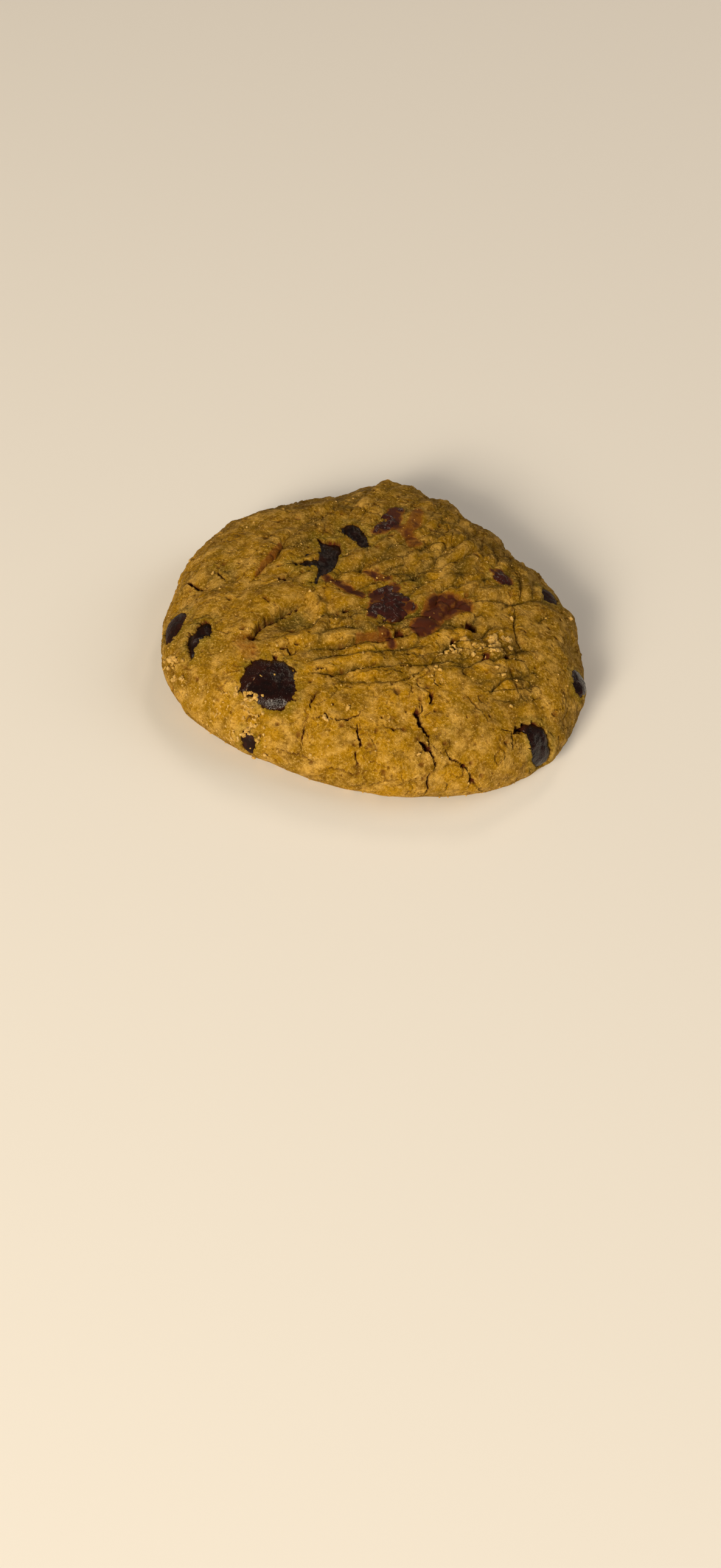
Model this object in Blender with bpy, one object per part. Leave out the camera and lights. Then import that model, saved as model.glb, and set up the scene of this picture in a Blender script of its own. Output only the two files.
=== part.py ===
"""A thick, soft peanut butter chocolate chip cookie, lying flat on its baked base.

The origin is the middle of the base, +Z is up, and the camera side is -Y. Sizes are in millimetres until
a mesh is made. Places on the crust are given in crust millimetres: along the crust from the crown's
middle, right and back, so that one flat map covers the crown and the side down to the base.
"""

import math

import bmesh
import bpy
import numpy as np
from mathutils import Vector

MM = 0.001

# Driving dimensions.
MEAN_RADIUS = 42.5
CROWN_HEIGHT = 19.5

# The outline's radius at equal steps of angle, anticlockwise from +X: an uneven, hand-scooped round.
OUTLINE_RADII = (43.0, 42.0, 41.0, 42.5, 44.5, 42.5, 40.5, 42.0, 42.5, 44.5, 44.5, 41.0, 40.5, 41.5, 43.5, 44.5)

# The section from the crown's middle to the base's edge: share of the radius, share of the crown's height.
SECTION = (
    (0.0, 1.0), (0.22, 0.985), (0.42, 0.95), (0.6, 0.892), (0.75, 0.815), (0.86, 0.708),
    (0.945, 0.554), (0.99, 0.38), (1.0, 0.256), (0.985, 0.133), (0.955, 0.046), (0.925, 0.0),
)
SECTION_STEPS = 16

# The mesh: rings over the crown and down the side, then thinned where the crust is smooth.
CROWN_RINGS = 52
SIDE_RINGS = 14
CROWN_REACH = 38.0
KEPT_SHARE = 0.14

# Swellings and hollows of the crust, as (right, back, reach, rise).
SWELLINGS = (
    (0.0, 33.0, 11.0, 1.5), (-2.0, 41.0, 5.0, 1.0), (9.5, 39.0, 3.5, 0.9), (13.5, 36.0, 3.5, -0.9),
    (34.0, 6.0, 6.0, 1.2), (38.5, 13.0, 3.5, 1.0), (44.0, -8.5, 3.0, 1.0), (22.0, -16.0, 7.0, 0.8),
    (25.0, -28.0, 8.0, 0.5), (-28.0, -10.0, 9.0, 0.9), (-14.0, -10.5, 4.5, -0.9), (-22.5, 24.0, 7.0, 0.6),
    (-36.0, 3.0, 6.0, 0.6), (17.5, -4.5, 3.6, -1.3), (-40.0, -8.0, 4.0, -0.6), (9.0, -14.0, 5.0, -0.5),
    (20.0, 40.0, 6.0, 0.8), (-20.0, 40.0, 7.0, -0.5), (-32.0, 28.0, 6.0, 0.6), (36.0, 24.0, 6.0, 0.7),
)

# Lumps of the dough, as (size of one lump, height, seed).
LUMPS = ((13.0, 1.2, 3.1), (6.0, 0.6, 8.7))

# Folds where the crown was pulled as the dough was scooped: plump wrinkles along a turning grain.
FOLD_SPACING = 5.2
FOLD_LENGTH = 9.0
FOLD_HEIGHT = 2.1
CREASE_WIDTH = 0.03
FOLD_SEED = 5.3
GRAIN_STEPS = 3

# Where the crust is folded, as (right, back, reach); elsewhere it is nearly smooth.
FOLDED_PLACES = (
    (-3.0, -17.0, 11.0), (12.0, -8.0, 12.0), (4.0, 6.0, 14.0), (13.0, 19.0, 14.0), (-15.0, 6.0, 8.0),
    (24.0, -13.0, 8.0), (0.0, 31.0, 12.0), (27.0, 13.0, 8.0), (-12.0, 21.0, 10.0), (-33.0, -4.0, 5.0),
    (30.0, 34.0, 10.0), (-28.0, 36.0, 8.0),
)
UNFOLDED_SHARE = 0.15
EDGE_WIDTH = 0.6

# Flakes torn at one edge: points along the edge, with the raised side on the left of the way they run,
# its rise and how far back from the edge it is raised.
FLAKES = (
    (((-15.0, -7.4), (-17.6, -9.8), (-20.5, -13.0), (-22.6, -17.0), (-23.0, -19.4)), -1.9, 6.0),
    (((14.6, -9.6), (13.4, -13.0), (12.0, -16.0), (10.5, -20.1), (6.4, -25.0)), 1.4, 5.0),
    (((22.6, -20.2), (23.9, -17.1), (26.4, -14.0)), 1.4, 4.0),
    (((18.0, -14.2), (23.1, -11.9), (28.8, -8.6)), 1.6, 4.0),
    (((-8.4, -19.0), (-4.2, -16.8), (1.5, -15.2)), 1.3, 3.5),
    (((-11.6, -26.4), (-5.9, -25.2), (0.4, -21.6)), 1.2, 3.5),
    (((-26.8, -4.0), (-25.2, 1.0), (-24.0, 6.0), (-22.4, 12.0)), 0.9, 3.5),
    (((-23.0, -5.8), (-20.6, -3.2), (-19.0, 0.8)), 0.9, 3.5),
    (((4.7, 13.8), (8.0, 17.9), (15.1, 21.0)), -1.0, 3.0),
    (((10.2, 9.4), (12.0, 13.4), (17.6, 18.6)), -1.0, 3.0),
    (((17.0, 2.4), (23.1, 5.3), (29.4, 8.8)), -1.1, 3.5),
    (((26.4, 5.0), (26.6, -3.6), (28.8, -6.6)), 1.1, 4.0),
)

# Baking cracks down the front and the back: points along the crack, its depth and its half width.
CRACKS = (
    (((10.4, -29.4), (11.8, -31.6), (13.6, -34.2), (15.0, -37.2), (17.2, -40.4), (16.7, -43.3), (18.5, -47.3)), 2.0, 1.1),
    (((12.2, -36.6), (15.4, -37.2)), 1.8, 0.8),
    (((12.4, -25.0), (12.7, -27.6)), 1.2, 0.8),
    (((18.2, -36.0), (21.2, -37.1), (25.4, -38.8), (30.5, -39.8)), 1.4, 1.0),
    (((-9.7, -31.2), (-10.2, -35.5), (-10.9, -42.4)), 0.9, 1.0),
    (((-9.4, -37.0), (-5.9, -36.3), (-1.3, -35.0)), 1.0, 1.0),
    (((-0.4, -36.5), (1.1, -40.0), (1.2, -44.4)), 1.0, 1.0),
    (((-42.4, -1.0), (-38.4, -3.8), (-34.6, -6.9)), 1.4, 0.9),
    (((25.8, -27.6), (28.3, -26.6), (30.1, -29.8)), 0.9, 0.8),
    (((14.0, 33.0), (12.6, 38.0), (15.6, 43.5)), 1.6, 0.9),
    (((-13.0, 34.0), (-16.0, 38.5), (-15.0, 44.0)), 1.6, 0.9),
    (((-36.0, 14.0), (-40.0, 15.5), (-44.5, 20.0)), 1.3, 0.8),
)

# Chocolate chips, each in its own pocket: name, depth, how far the face stands above the dough, and its
# outline on the crust.
CHIPS = (
    ("chip_front_large", 5.6, 0.3, (
        (-21.2, -24.7), (-17.9, -24.6), (-15.2, -25.8), (-13.4, -29.0), (-13.2, -33.4), (-16.6, -35.6),
        (-20.6, -33.2), (-23.4, -30.8), (-23.3, -27.6))),
    ("chip_front_small", 4.0, 0.4, ((-23.9, -40.0), (-22.6, -39.5), (-21.0, -41.0), (-22.6, -44.6), (-24.2, -42.6))),
    ("chip_front_right", 5.0, -0.3, (
        (31.2, -24.6), (33.4, -22.2), (36.8, -22.9), (40.4, -25.2), (40.6, -28.2), (36.6, -28.7), (33.6, -27.0))),
    ("chip_left_rim", 5.0, 0.4, (
        (-41.6, -10.4), (-38.8, -11.0), (-36.8, -13.6), (-37.8, -17.2), (-40.4, -18.4), (-42.6, -15.0))),
    ("chip_left_inner", 4.2, 0.1, (
        (-31.6, -15.8), (-30.4, -18.4), (-32.2, -20.2), (-33.4, -23.0), (-35.0, -21.2), (-34.4, -18.2))),
    ("chip_crown_long", 4.4, 0.1, (
        (-16.8, 12.3), (-14.4, 12.1), (-11.9, 11.6), (-11.5, 9.0), (-12.0, 6.4), (-11.6, 3.2), (-13.0, -1.4),
        (-14.4, -1.4), (-15.2, 1.8), (-18.8, 1.6), (-19.0, 3.6), (-16.2, 6.2), (-15.9, 9.6))),
    ("chip_crown_back", 4.4, 0.1, (
        (-12.4, 16.4), (-11.6, 18.8), (-8.2, 18.4), (-6.6, 16.0), (-5.6, 12.8), (-7.4, 11.6), (-10.6, 13.4))),
    ("chip_crown_far", 4.0, 0.1, ((-1.6, 26.4), (0.2, 25.6), (-0.9, 20.8), (-3.4, 16.9), (-4.9, 17.6), (-3.4, 22.0))),
    ("chip_crown_melted", 4.2, 0.2, (
        (-2.6, -6.2), (-1.6, -2.6), (0.2, 1.2), (2.6, 1.8), (3.2, -1.2), (5.6, -4.6), (4.6, -7.0), (2.2, -9.4),
        (-1.4, -8.4))),
    ("chip_right_back", 4.0, 0.1, ((21.0, 14.4), (22.2, 15.7), (24.4, 14.0), (24.8, 11.8), (22.2, 12.0))),
    ("chip_right_shoulder", 4.0, 0.3, ((32.2, 16.2), (34.0, 17.6), (36.2, 16.0), (35.2, 12.8), (32.8, 13.0))),
    ("chip_right_rim", 4.4, 0.6, ((40.4, -4.4), (42.6, -3.6), (43.6, -6.4), (42.0, -9.2), (40.2, -8.0))),
    ("chip_rear_right", 5.0, 0.3, ((24.6, 38.6), (27.0, 40.2), (30.6, 38.4), (30.8, 34.6), (27.2, 33.6), (24.4, 35.6))),
    ("chip_rear_middle", 5.0, 0.3, ((-9.4, 44.2), (-7.0, 47.6), (-2.6, 47.8), (-1.6, 44.6), (-5.0, 42.6))),
    ("chip_rear_left", 5.0, 0.3, (
        (-36.4, 33.0), (-33.8, 34.6), (-30.4, 32.4), (-30.2, 28.4), (-33.4, 26.6), (-36.8, 29.0))),
)

# Chips that sank to the baking sheet and melted flat against it: name, and outline in plan.
BASE_CHIPS = (
    ("chip_base_front", ((8.2, -18.4), (10.0, -13.8), (14.4, -13.2), (16.4, -17.0), (13.4, -20.6), (9.8, -20.8))),
    ("chip_base_left", ((-25.0, 3.6), (-24.6, 8.8), (-20.4, 10.2), (-17.4, 6.6), (-18.2, 2.6), (-22.0, 1.4))),
    ("chip_base_back", ((6.2, 22.4), (7.4, 26.8), (11.6, 26.2), (12.4, 22.8), (9.2, 20.6))),
)
BASE_CHIP_DEPTH = 3.6
BASE_CHIP_RECESS = 0.2

# A chip's section, from the middle of its face to the middle of its underside: share of the outline, share
# of the depth. It has melted to a nearly flat face with a rounded rim.
CHIP_SECTION = ((0.6, 0.01), (0.9, 0.05), (1.0, 0.22), (0.94, 0.6), (0.62, 0.92))
CHIP_SEGMENTS = 16
POCKET_GAP = 0.3
POCKET_OPENING = 2.5
CALM_MARGIN = 2.0

# Colours, as linear red, green and blue.
DOUGH_COLOUR = (0.42, 0.20, 0.045, 1.0)
CHOCOLATE_COLOUR = (0.022, 0.008, 0.006, 1.0)
SHARP_ANGLE = math.radians(60.0)


def smooth_curve(points, steps, closed=False):
    """Points along a Catmull-Rom curve through the given ones."""
    given = np.asarray(points, float)
    if closed:
        padded = np.vstack([given[-1:], given, given[:2]])
    else:
        padded = np.vstack([2 * given[0] - given[1], given, 2 * given[-1] - given[-2]])
    curve = []
    for before, start, end, after in zip(padded, padded[1:], padded[2:], padded[3:]):
        t = np.linspace(0.0, 1.0, steps, endpoint=False)[:, None]
        cubic = (-before + 3 * start - 3 * end + after) * t**3
        square = (2 * before - 5 * start + 4 * end - after) * t**2
        curve.append(0.5 * (2 * start + (end - before) * t + square + cubic))
    if not closed:
        curve.append(given[-1:])
    return np.vstack(curve)


def section_curve():
    """Arc length down the mean section, with the share of the radius and the height at each."""
    curve = smooth_curve(SECTION, SECTION_STEPS)
    share, height = curve[:, 0], curve[:, 1] * CROWN_HEIGHT
    steps = np.hypot(np.diff(share * MEAN_RADIUS), np.diff(height))
    return np.concatenate([[0.0], np.cumsum(steps)]), share, height


def outline_radius(angle):
    """The cookie's radius at an angle from +X."""
    step = np.mod(angle, math.tau) / math.tau * len(RADII)
    return np.interp(step, np.arange(len(RADII) + 1), np.append(RADII, RADII[0]))


def outline_middle():
    """The middle of the outline's box, which becomes the origin."""
    angle = np.linspace(0.0, math.tau, 361)
    rim = np.stack([np.cos(angle), np.sin(angle)]) * outline_radius(angle)
    return (rim.min(axis=1) + rim.max(axis=1)) / 2


ARC, ARC_SHARE, ARC_HEIGHT = section_curve()
ARC_TOTAL = ARC[-1]
RADII = smooth_curve(np.array(OUTLINE_RADII)[:, None], SECTION_STEPS, closed=True)[:, 0]
MIDDLE = outline_middle()


def crust_point(right, back):
    """The smooth body's surface at a place on the crust."""
    arc = np.hypot(right, back)
    angle = np.arctan2(back, right)
    reach = outline_radius(angle) * np.interp(arc, ARC, ARC_SHARE)
    height = np.interp(arc, ARC, ARC_HEIGHT)
    return np.stack([reach * np.cos(angle) - MIDDLE[0], reach * np.sin(angle) - MIDDLE[1], height], axis=-1)


def crust_normal(right, back, step=0.2):
    """The smooth body's outward direction at a place on the crust."""
    along_right = crust_point(right + step, back) - crust_point(right - step, back)
    along_back = crust_point(right, back + step) - crust_point(right, back - step)
    normal = np.cross(along_right, along_back)
    return normal / np.linalg.norm(normal, axis=-1, keepdims=True)


def corner_push(column, row, across, along, seed):
    """One lattice corner's share of the noise: a random slope, read at a distance from the corner."""
    turn = np.sin(column * 127.1 + row * 311.7 + seed * 74.7) * 43758.5453
    turn = (turn - np.floor(turn)) * math.tau
    return np.cos(turn) * across + np.sin(turn) * along


def ripple(x, y, seed):
    """Smooth random noise with about one bump in each unit, from -0.7 to 0.7."""
    column, row = np.floor(x), np.floor(y)
    across, along = x - column, y - row
    ease_x = across**3 * (across * (across * 6 - 15) + 10)
    ease_y = along**3 * (along * (along * 6 - 15) + 10)
    near = corner_push(column, row, across, along, seed)
    near += ease_x * (corner_push(column + 1, row, across - 1, along, seed) - near)
    far = corner_push(column, row + 1, across, along - 1, seed)
    far += ease_x * (corner_push(column + 1, row + 1, across - 1, along - 1, seed) - far)
    return near + ease_y * (far - near)


def grain_angle(right, back):
    """The way the folds run: nearly across at the front, steeper at the back and the left."""
    degrees = 37.0 + 0.85 * back + 0.055 * np.minimum(right, 0.0) ** 2
    return np.radians(np.clip(degrees, 14.0, 78.0))


def folds(right, back):
    """Plump folds, from 0 in the creases between them to about 1: noise drawn out along the grain."""
    total = ripple(right / FOLD_SPACING, back / FOLD_SPACING, FOLD_SEED)
    stride = FOLD_LENGTH / 2 / GRAIN_STEPS
    for way in (1.0, -1.0):
        x, y = right, back
        for _ in range(GRAIN_STEPS):
            angle = grain_angle(x, y)
            x = x + way * stride * np.cos(angle)
            y = y + way * stride * np.sin(angle)
            total = total + ripple(x / FOLD_SPACING, y / FOLD_SPACING, FOLD_SEED)
    drawn = total / (2 * GRAIN_STEPS + 1)
    return np.minimum(np.sqrt(np.hypot(drawn, CREASE_WIDTH) * 5.0), 1.3)


def fold_share(right, back):
    """How strongly the crust is folded at each place."""
    share = np.full(np.shape(right), UNFOLDED_SHARE)
    for middle_right, middle_back, reach in FOLDED_PLACES:
        away = np.hypot(right - middle_right, back - middle_back)
        share = np.maximum(share, np.clip((reach - away) / 4.0 + 0.5, 0.0, 1.0))
    return share


def line_distance(right, back, curve):
    """The distance from each place to a curve, its side (1 on the left) and its share of the way along."""
    best = np.full(np.shape(right), 1e6)
    side = np.ones(np.shape(right))
    share = np.zeros(np.shape(right))
    for index, (start, end) in enumerate(zip(curve, curve[1:])):
        run = end - start
        from_right, from_back = right - start[0], back - start[1]
        along = np.clip((from_right * run[0] + from_back * run[1]) / (run @ run), 0.0, 1.0)
        away = np.hypot(from_right - along * run[0], from_back - along * run[1])
        nearer = away < best
        best = np.where(nearer, away, best)
        side = np.where(nearer, np.where(run[0] * from_back > run[1] * from_right, 1.0, -1.0), side)
        share = np.where(nearer, (index + along) / (len(curve) - 1), share)
    return best, side, share


def ends_fade(share):
    """1 along a line's middle and near 0 at its two ends."""
    return np.sin(np.clip(share, 0.02, 0.98) * math.pi) ** 0.5


def crack_depth(right, back):
    depth = np.zeros(np.shape(right))
    for points, deep, half_width in CRACKS:
        away, _, share = line_distance(right, back, smooth_curve(points, 4))
        depth = np.maximum(depth, deep * ends_fade(share) * np.exp(-((away / half_width) ** 2)))
    return depth


def flake_rise(right, back):
    """Raised on one side of a torn edge and sunk on the other, fading away from it."""
    total = np.zeros(np.shape(right))
    for points, rise, reach in FLAKES:
        away, side, share = line_distance(right, back, smooth_curve(points, 4))
        upper = np.where(side > 0, 0.6, -0.4) * np.clip(away / EDGE_WIDTH, 0.0, 1.0)
        total += rise * upper * ends_fade(share) * np.exp(-((away / reach) ** 2))
    return total


def outline_distance(right, back, outline):
    """The distance out from a closed outline, negative inside it."""
    curve = smooth_curve(outline, 3, closed=True)
    curve = np.vstack([curve, curve[:1]])
    away, _, _ = line_distance(right, back, curve)
    inside = np.zeros(np.shape(right), bool)
    for (x0, y0), (x1, y1) in zip(curve, curve[1:]):
        crosses = (y0 > back) != (y1 > back)
        inside ^= crosses & (right < x0 + (back - y0) * (x1 - x0) / (y1 - y0 + 1e-12))
    return np.where(inside, -away, away)


def chip_calm(right, back):
    """0 on a chip and 1 away from all of them: the dough lies level round a chip."""
    calm = np.ones(np.shape(right))
    for _, _, _, outline in CHIPS:
        middle = np.mean(outline, axis=0)
        near = np.hypot(right - middle[0], back - middle[1]) < 16.0
        away = outline_distance(right[near], back[near], outline)
        calm[near] = np.minimum(calm[near], np.clip(away / CALM_MARGIN, 0.0, 1.0))
    return calm


def relief(right, back):
    """How far the crust stands out from the smooth body."""
    side_fade = np.clip((ARC_TOTAL - np.hypot(right, back)) / 6.0, 0.0, 1.0)
    rise = np.zeros(np.shape(right))
    for size, height, seed in LUMPS:
        rise += height * ripple(right / size, back / size, seed)
    for middle_right, middle_back, reach, height in SWELLINGS:
        rise += height * np.exp(-((right - middle_right) ** 2 + (back - middle_back) ** 2) / reach**2)
    surface = FOLD_HEIGHT * fold_share(right, back) * (folds(right, back) - 0.75)
    surface += flake_rise(right, back)
    rise += surface * chip_calm(right, back) - crack_depth(right, back)
    return rise * side_fade


def disc_places():
    """Places on the crust in a square lattice wound onto a disc, so that no ring has a pole."""
    rings = CROWN_RINGS + SIDE_RINGS
    line = np.linspace(-1.0, 1.0, 2 * rings + 1)
    x, y = np.meshgrid(line, line, indexing="ij")
    ring = np.maximum(np.abs(x), np.abs(y))
    wide = np.abs(x) >= np.abs(y)
    across, along = np.where(wide, x, y), np.where(wide, y, x)
    slant = np.divide(along, across, out=np.zeros_like(across), where=ring > 0) * math.pi / 4
    turned = np.where(wide, slant, math.pi / 2 - slant) + np.where(across < 0, math.pi, 0.0)
    steps = np.concatenate([
        np.linspace(0.0, CROWN_REACH, CROWN_RINGS + 1),
        np.linspace(CROWN_REACH, ARC_TOTAL, SIDE_RINGS + 1)[1:],
    ])
    arc = np.interp(ring * rings, np.arange(rings + 1), steps)
    return arc * np.cos(turned), arc * np.sin(turned)


def material(name, colour, roughness):
    made = bpy.data.materials.new(name)
    made.use_nodes = True
    shader = made.node_tree.nodes["Principled BSDF"]
    shader.inputs["Base Color"].default_value = colour
    shader.inputs["Roughness"].default_value = roughness
    return made


def add_object(name, points, faces, finish):
    """Makes a named object, closed and facing out, from points in millimetres."""
    work = bmesh.new()
    verts = [work.verts.new(Vector(point) * MM) for point in points]
    for face in faces:
        work.faces.new([verts[index] for index in face])
    bmesh.ops.holes_fill(work, edges=[edge for edge in work.edges if edge.is_boundary], sides=0)
    bmesh.ops.recalc_face_normals(work, faces=work.faces)
    bmesh.ops.triangulate(work, faces=work.faces)
    mesh = bpy.data.meshes.new(name)
    work.to_mesh(mesh)
    work.free()
    mesh.materials.append(finish)
    mesh.shade_smooth()
    mesh.set_sharp_from_angle(angle=SHARP_ANGLE)
    made = bpy.data.objects.new(name, mesh)
    bpy.context.scene.collection.objects.link(made)
    return made


def dough(finish):
    """The baked dough: crown, side and flat base as one closed body."""
    right, back = disc_places()
    base = crust_point(right, back)
    surface = base + crust_normal(right, back) * relief(right, back)[..., None]
    rim = np.hypot(right, back) > ARC_TOTAL - 0.01
    surface[rim] = base[rim]
    count = len(right)
    corner = np.arange(count * count).reshape(count, count)
    faces = np.stack([corner[:-1, :-1], corner[1:, :-1], corner[1:, 1:], corner[:-1, 1:]], axis=-1)
    made = add_object("cookie_dough", surface.reshape(-1, 3), faces.reshape(-1, 4), finish)
    thin = made.modifiers.new("fewer faces where smooth", "DECIMATE")
    thin.ratio = KEPT_SHARE
    return made


def flat_frame(outline):
    """Axes of a chip's face, as rows right, back and out, and its middle on the crust."""
    right, back = np.mean(outline, axis=0)
    right, back = np.array([right]), np.array([back])
    out = crust_normal(right, back)[0]
    back_way = crust_point(right, back + 0.2)[0] - crust_point(right, back - 0.2)[0]
    across = np.cross(back_way, out)
    across /= np.linalg.norm(across)
    middle = crust_point(right, back)[0] + out * relief(right, back)[0]
    return np.stack([across, np.cross(out, across), out]), middle


def even_outline(points):
    """A smooth closed outline with its points the same distance apart."""
    curve = smooth_curve(points, 8, closed=True)
    curve = np.vstack([curve, curve[:1]])
    gone = np.concatenate([[0.0], np.cumsum(np.linalg.norm(np.diff(curve, axis=0), axis=1))])
    stops = np.linspace(0.0, gone[-1], CHIP_SEGMENTS, endpoint=False)
    return np.stack([np.interp(stops, gone, curve[:, 0]), np.interp(stops, gone, curve[:, 1])], axis=-1)


def grown(outline, margin):
    """The outline moved out by a margin all round."""
    run = np.roll(outline, -1, axis=0) - np.roll(outline, 1, axis=0)
    run /= np.linalg.norm(run, axis=1, keepdims=True)
    turned = np.stack([run[:, 1], -run[:, 0]], axis=-1)
    area = np.sum(outline[:, 0] * np.roll(outline[:, 1], -1) - np.roll(outline[:, 0], -1) * outline[:, 1])
    return outline + turned * margin * np.sign(area)


def stacked(outline, section, axes, origin):
    """Points and faces of a body whose level outlines shrink from and to a middle point at either end."""
    middle = outline.mean(axis=0)
    levels = [np.column_stack([middle + (outline - middle) * share, np.full(len(outline), level)])
              for share, level in section[1:-1]]
    ends = [np.append(middle, section[0][1])[None], np.append(middle, section[-1][1])[None]]
    points = np.vstack([ends[0], *levels, ends[1]]) @ axes + origin
    count = len(outline)
    near = np.arange(count)
    far = np.roll(near, -1)
    last = 1 + count * len(levels)
    faces = [(0, 1 + a, 1 + b) for a, b in zip(near, far)]
    for level in range(len(levels) - 1):
        start = 1 + count * level
        faces += [(start + a, start + b, start + count + b, start + count + a) for a, b in zip(near, far)]
    faces += [(last, last - count + b, last - count + a) for a, b in zip(near, far)]
    return points, faces


def add_chip(name, outline, depth, axes, origin, finish, pockets):
    """A chip, and the slightly larger cutter, open to the outside, that leaves its pocket in the dough."""
    section = [(0.0, 0.0), *((share, -down * depth) for share, down in CHIP_SECTION), (0.0, -depth)]
    add_object(name, *stacked(outline, section, axes, origin), finish)
    top = [(0.0, POCKET_OPENING), (1.0, POCKET_OPENING)]
    walls = [(share, -down * depth - POCKET_GAP) for share, down in CHIP_SECTION[2:]]
    section = [*top, *walls, (0.0, -depth - POCKET_GAP)]
    cutter = add_object(name + "_pocket", *stacked(grown(outline, POCKET_GAP), section, axes, origin), finish)
    cutter.hide_render = True
    cutter.display_type = "WIRE"
    bpy.context.scene.collection.objects.unlink(cutter)
    pockets.objects.link(cutter)


def add_chips(finish, pockets):
    for name, depth, stand, points in CHIPS:
        axes, middle = flat_frame(points)
        on_crust = even_outline(points)
        placed = crust_point(on_crust[:, 0], on_crust[:, 1]) - middle
        add_chip(name, placed @ axes[:2].T, depth, axes, middle + axes[2] * stand, finish, pockets)
    for name, points in BASE_CHIPS:
        outline = even_outline(points) * (1.0, -1.0)
        axes = np.diag([1.0, -1.0, -1.0])
        add_chip(name, outline, BASE_CHIP_DEPTH, axes, np.array([0.0, 0.0, BASE_CHIP_RECESS]), finish, pockets)


def main():
    for old in list(bpy.data.objects):
        bpy.data.objects.remove(old)
    pockets = bpy.data.collections.new("pockets")
    bpy.context.scene.collection.children.link(pockets)
    baked_dough = material("baked dough", DOUGH_COLOUR, 0.85)
    chocolate = material("dark chocolate", CHOCOLATE_COLOUR, 0.4)
    body = dough(baked_dough)
    add_chips(chocolate, pockets)
    cut = body.modifiers.new("chip pockets", "BOOLEAN")
    cut.operation = "DIFFERENCE"
    cut.operand_type = "COLLECTION"
    cut.collection = pockets
    cut.solver = "EXACT"


main()
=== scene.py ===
"""The looks of a thick peanut butter chocolate chip cookie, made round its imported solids.

Sizes are in millimetres until a mesh is made. Places on the crust are in crust millimetres: along the
crust from the crown's middle, right and back, so that one flat map covers the crown and the side.
"""

import math

import bmesh
import bpy
import numpy as np
from mathutils import Matrix, Vector
from mathutils.bvhtree import BVHTree
from mathutils.geometry import convex_hull_2d


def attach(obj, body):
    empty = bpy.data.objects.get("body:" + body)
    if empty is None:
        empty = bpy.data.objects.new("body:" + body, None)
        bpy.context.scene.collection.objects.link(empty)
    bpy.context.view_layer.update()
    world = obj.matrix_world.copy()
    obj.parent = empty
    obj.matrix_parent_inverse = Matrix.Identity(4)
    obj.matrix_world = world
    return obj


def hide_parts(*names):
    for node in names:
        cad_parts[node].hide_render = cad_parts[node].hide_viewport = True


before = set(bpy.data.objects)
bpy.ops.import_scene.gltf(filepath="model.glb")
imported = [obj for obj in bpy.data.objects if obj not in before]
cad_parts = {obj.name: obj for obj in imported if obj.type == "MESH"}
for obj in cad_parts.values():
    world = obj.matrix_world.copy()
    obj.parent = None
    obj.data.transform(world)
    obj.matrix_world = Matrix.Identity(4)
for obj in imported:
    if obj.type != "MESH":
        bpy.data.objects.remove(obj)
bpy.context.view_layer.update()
MM = 0.001

# The body, as in the solids: the rim's radius at even steps round from the right; the side's section, as
# shares of radius and height; swellings and dents, as right, back, reach and height; and lumps, as size,
# height and seed.
MEAN_RADIUS = 42.5
CROWN_HEIGHT = 19.5
OUTLINE_RADII = (43, 42, 41, 42.5, 44.5, 42.5, 40.5, 42, 42.5, 44.5, 44.5, 41, 40.5, 41.5, 43.5, 44.5)
SECTION = (
    (0, 1), (0.22, 0.985), (0.42, 0.95), (0.6, 0.892), (0.75, 0.815), (0.86, 0.708), (0.945, 0.554),
    (0.99, 0.38), (1, 0.256), (0.985, 0.133), (0.955, 0.046), (0.925, 0),
)
SECTION_STEPS = 16
SWELLINGS = (
    (0, 33, 11, 1.5), (-2, 41, 5, 1), (9.5, 39, 3.5, 0.9), (13.5, 36, 3.5, -0.9), (34, 6, 6, 1.2),
    (38.5, 13, 3.5, 1), (44, -8.5, 3, 1), (22, -16, 7, 0.8), (25, -28, 8, 0.5), (-28, -10, 9, 0.9),
    (-14, -10.5, 4.5, -0.9), (-22.5, 24, 7, 0.6), (-36, 3, 6, 0.6), (17.5, -4.5, 3.6, -1.3),
    (-40, -8, 4, -0.6), (9, -14, 5, -0.5), (20, 40, 6, 0.8), (-20, 40, 7, -0.5), (-32, 28, 6, 0.6),
    (36, 24, 6, 0.7),
)
# Swellings and dents of the crust alone, too low for the solids.
SLIGHT_SWELLINGS = ((-34, 19, 9, 1.2), (42, 2.6, 3.4, -1.1), (33, 22, 3.4, -0.7), (44.6, -5, 2.4, 0.5))
LUMPS = ((13, 1.2, 3.1), (6, 0.6, 8.7))

# Folds of the crown: spacing, length along the grain, height, crease width and seed. The first are the
# solid's own; the finer ones lie over them. A fold rises and sinks about its middle level, and a place's
# height in its fold is read from both kinds, by these shares.
FOLDS = ((5, 16, 2.2, 0.006, 5.3), (3.2, 16, 1.4, 0.01, 11.9))
FOLD_MIDDLE = 0.75
FOLD_PLUMPNESS = 5
FOLD_TOP = 1.3
FOLD_SHARES = (0.6, 0.4)

# The way the folds run, in degrees from straight right: at the middle, how it changes towards the back, the
# left (by the square) and the right, and its least and most. The noise is drawn out in this many steps.
GRAIN_MIDDLE = 44
GRAIN_BACK = 0.9
GRAIN_LEFT = 0.055
GRAIN_RIGHT = 0.4
GRAIN_RANGE = (20, 78)
GRAIN_STEPS = 3

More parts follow.
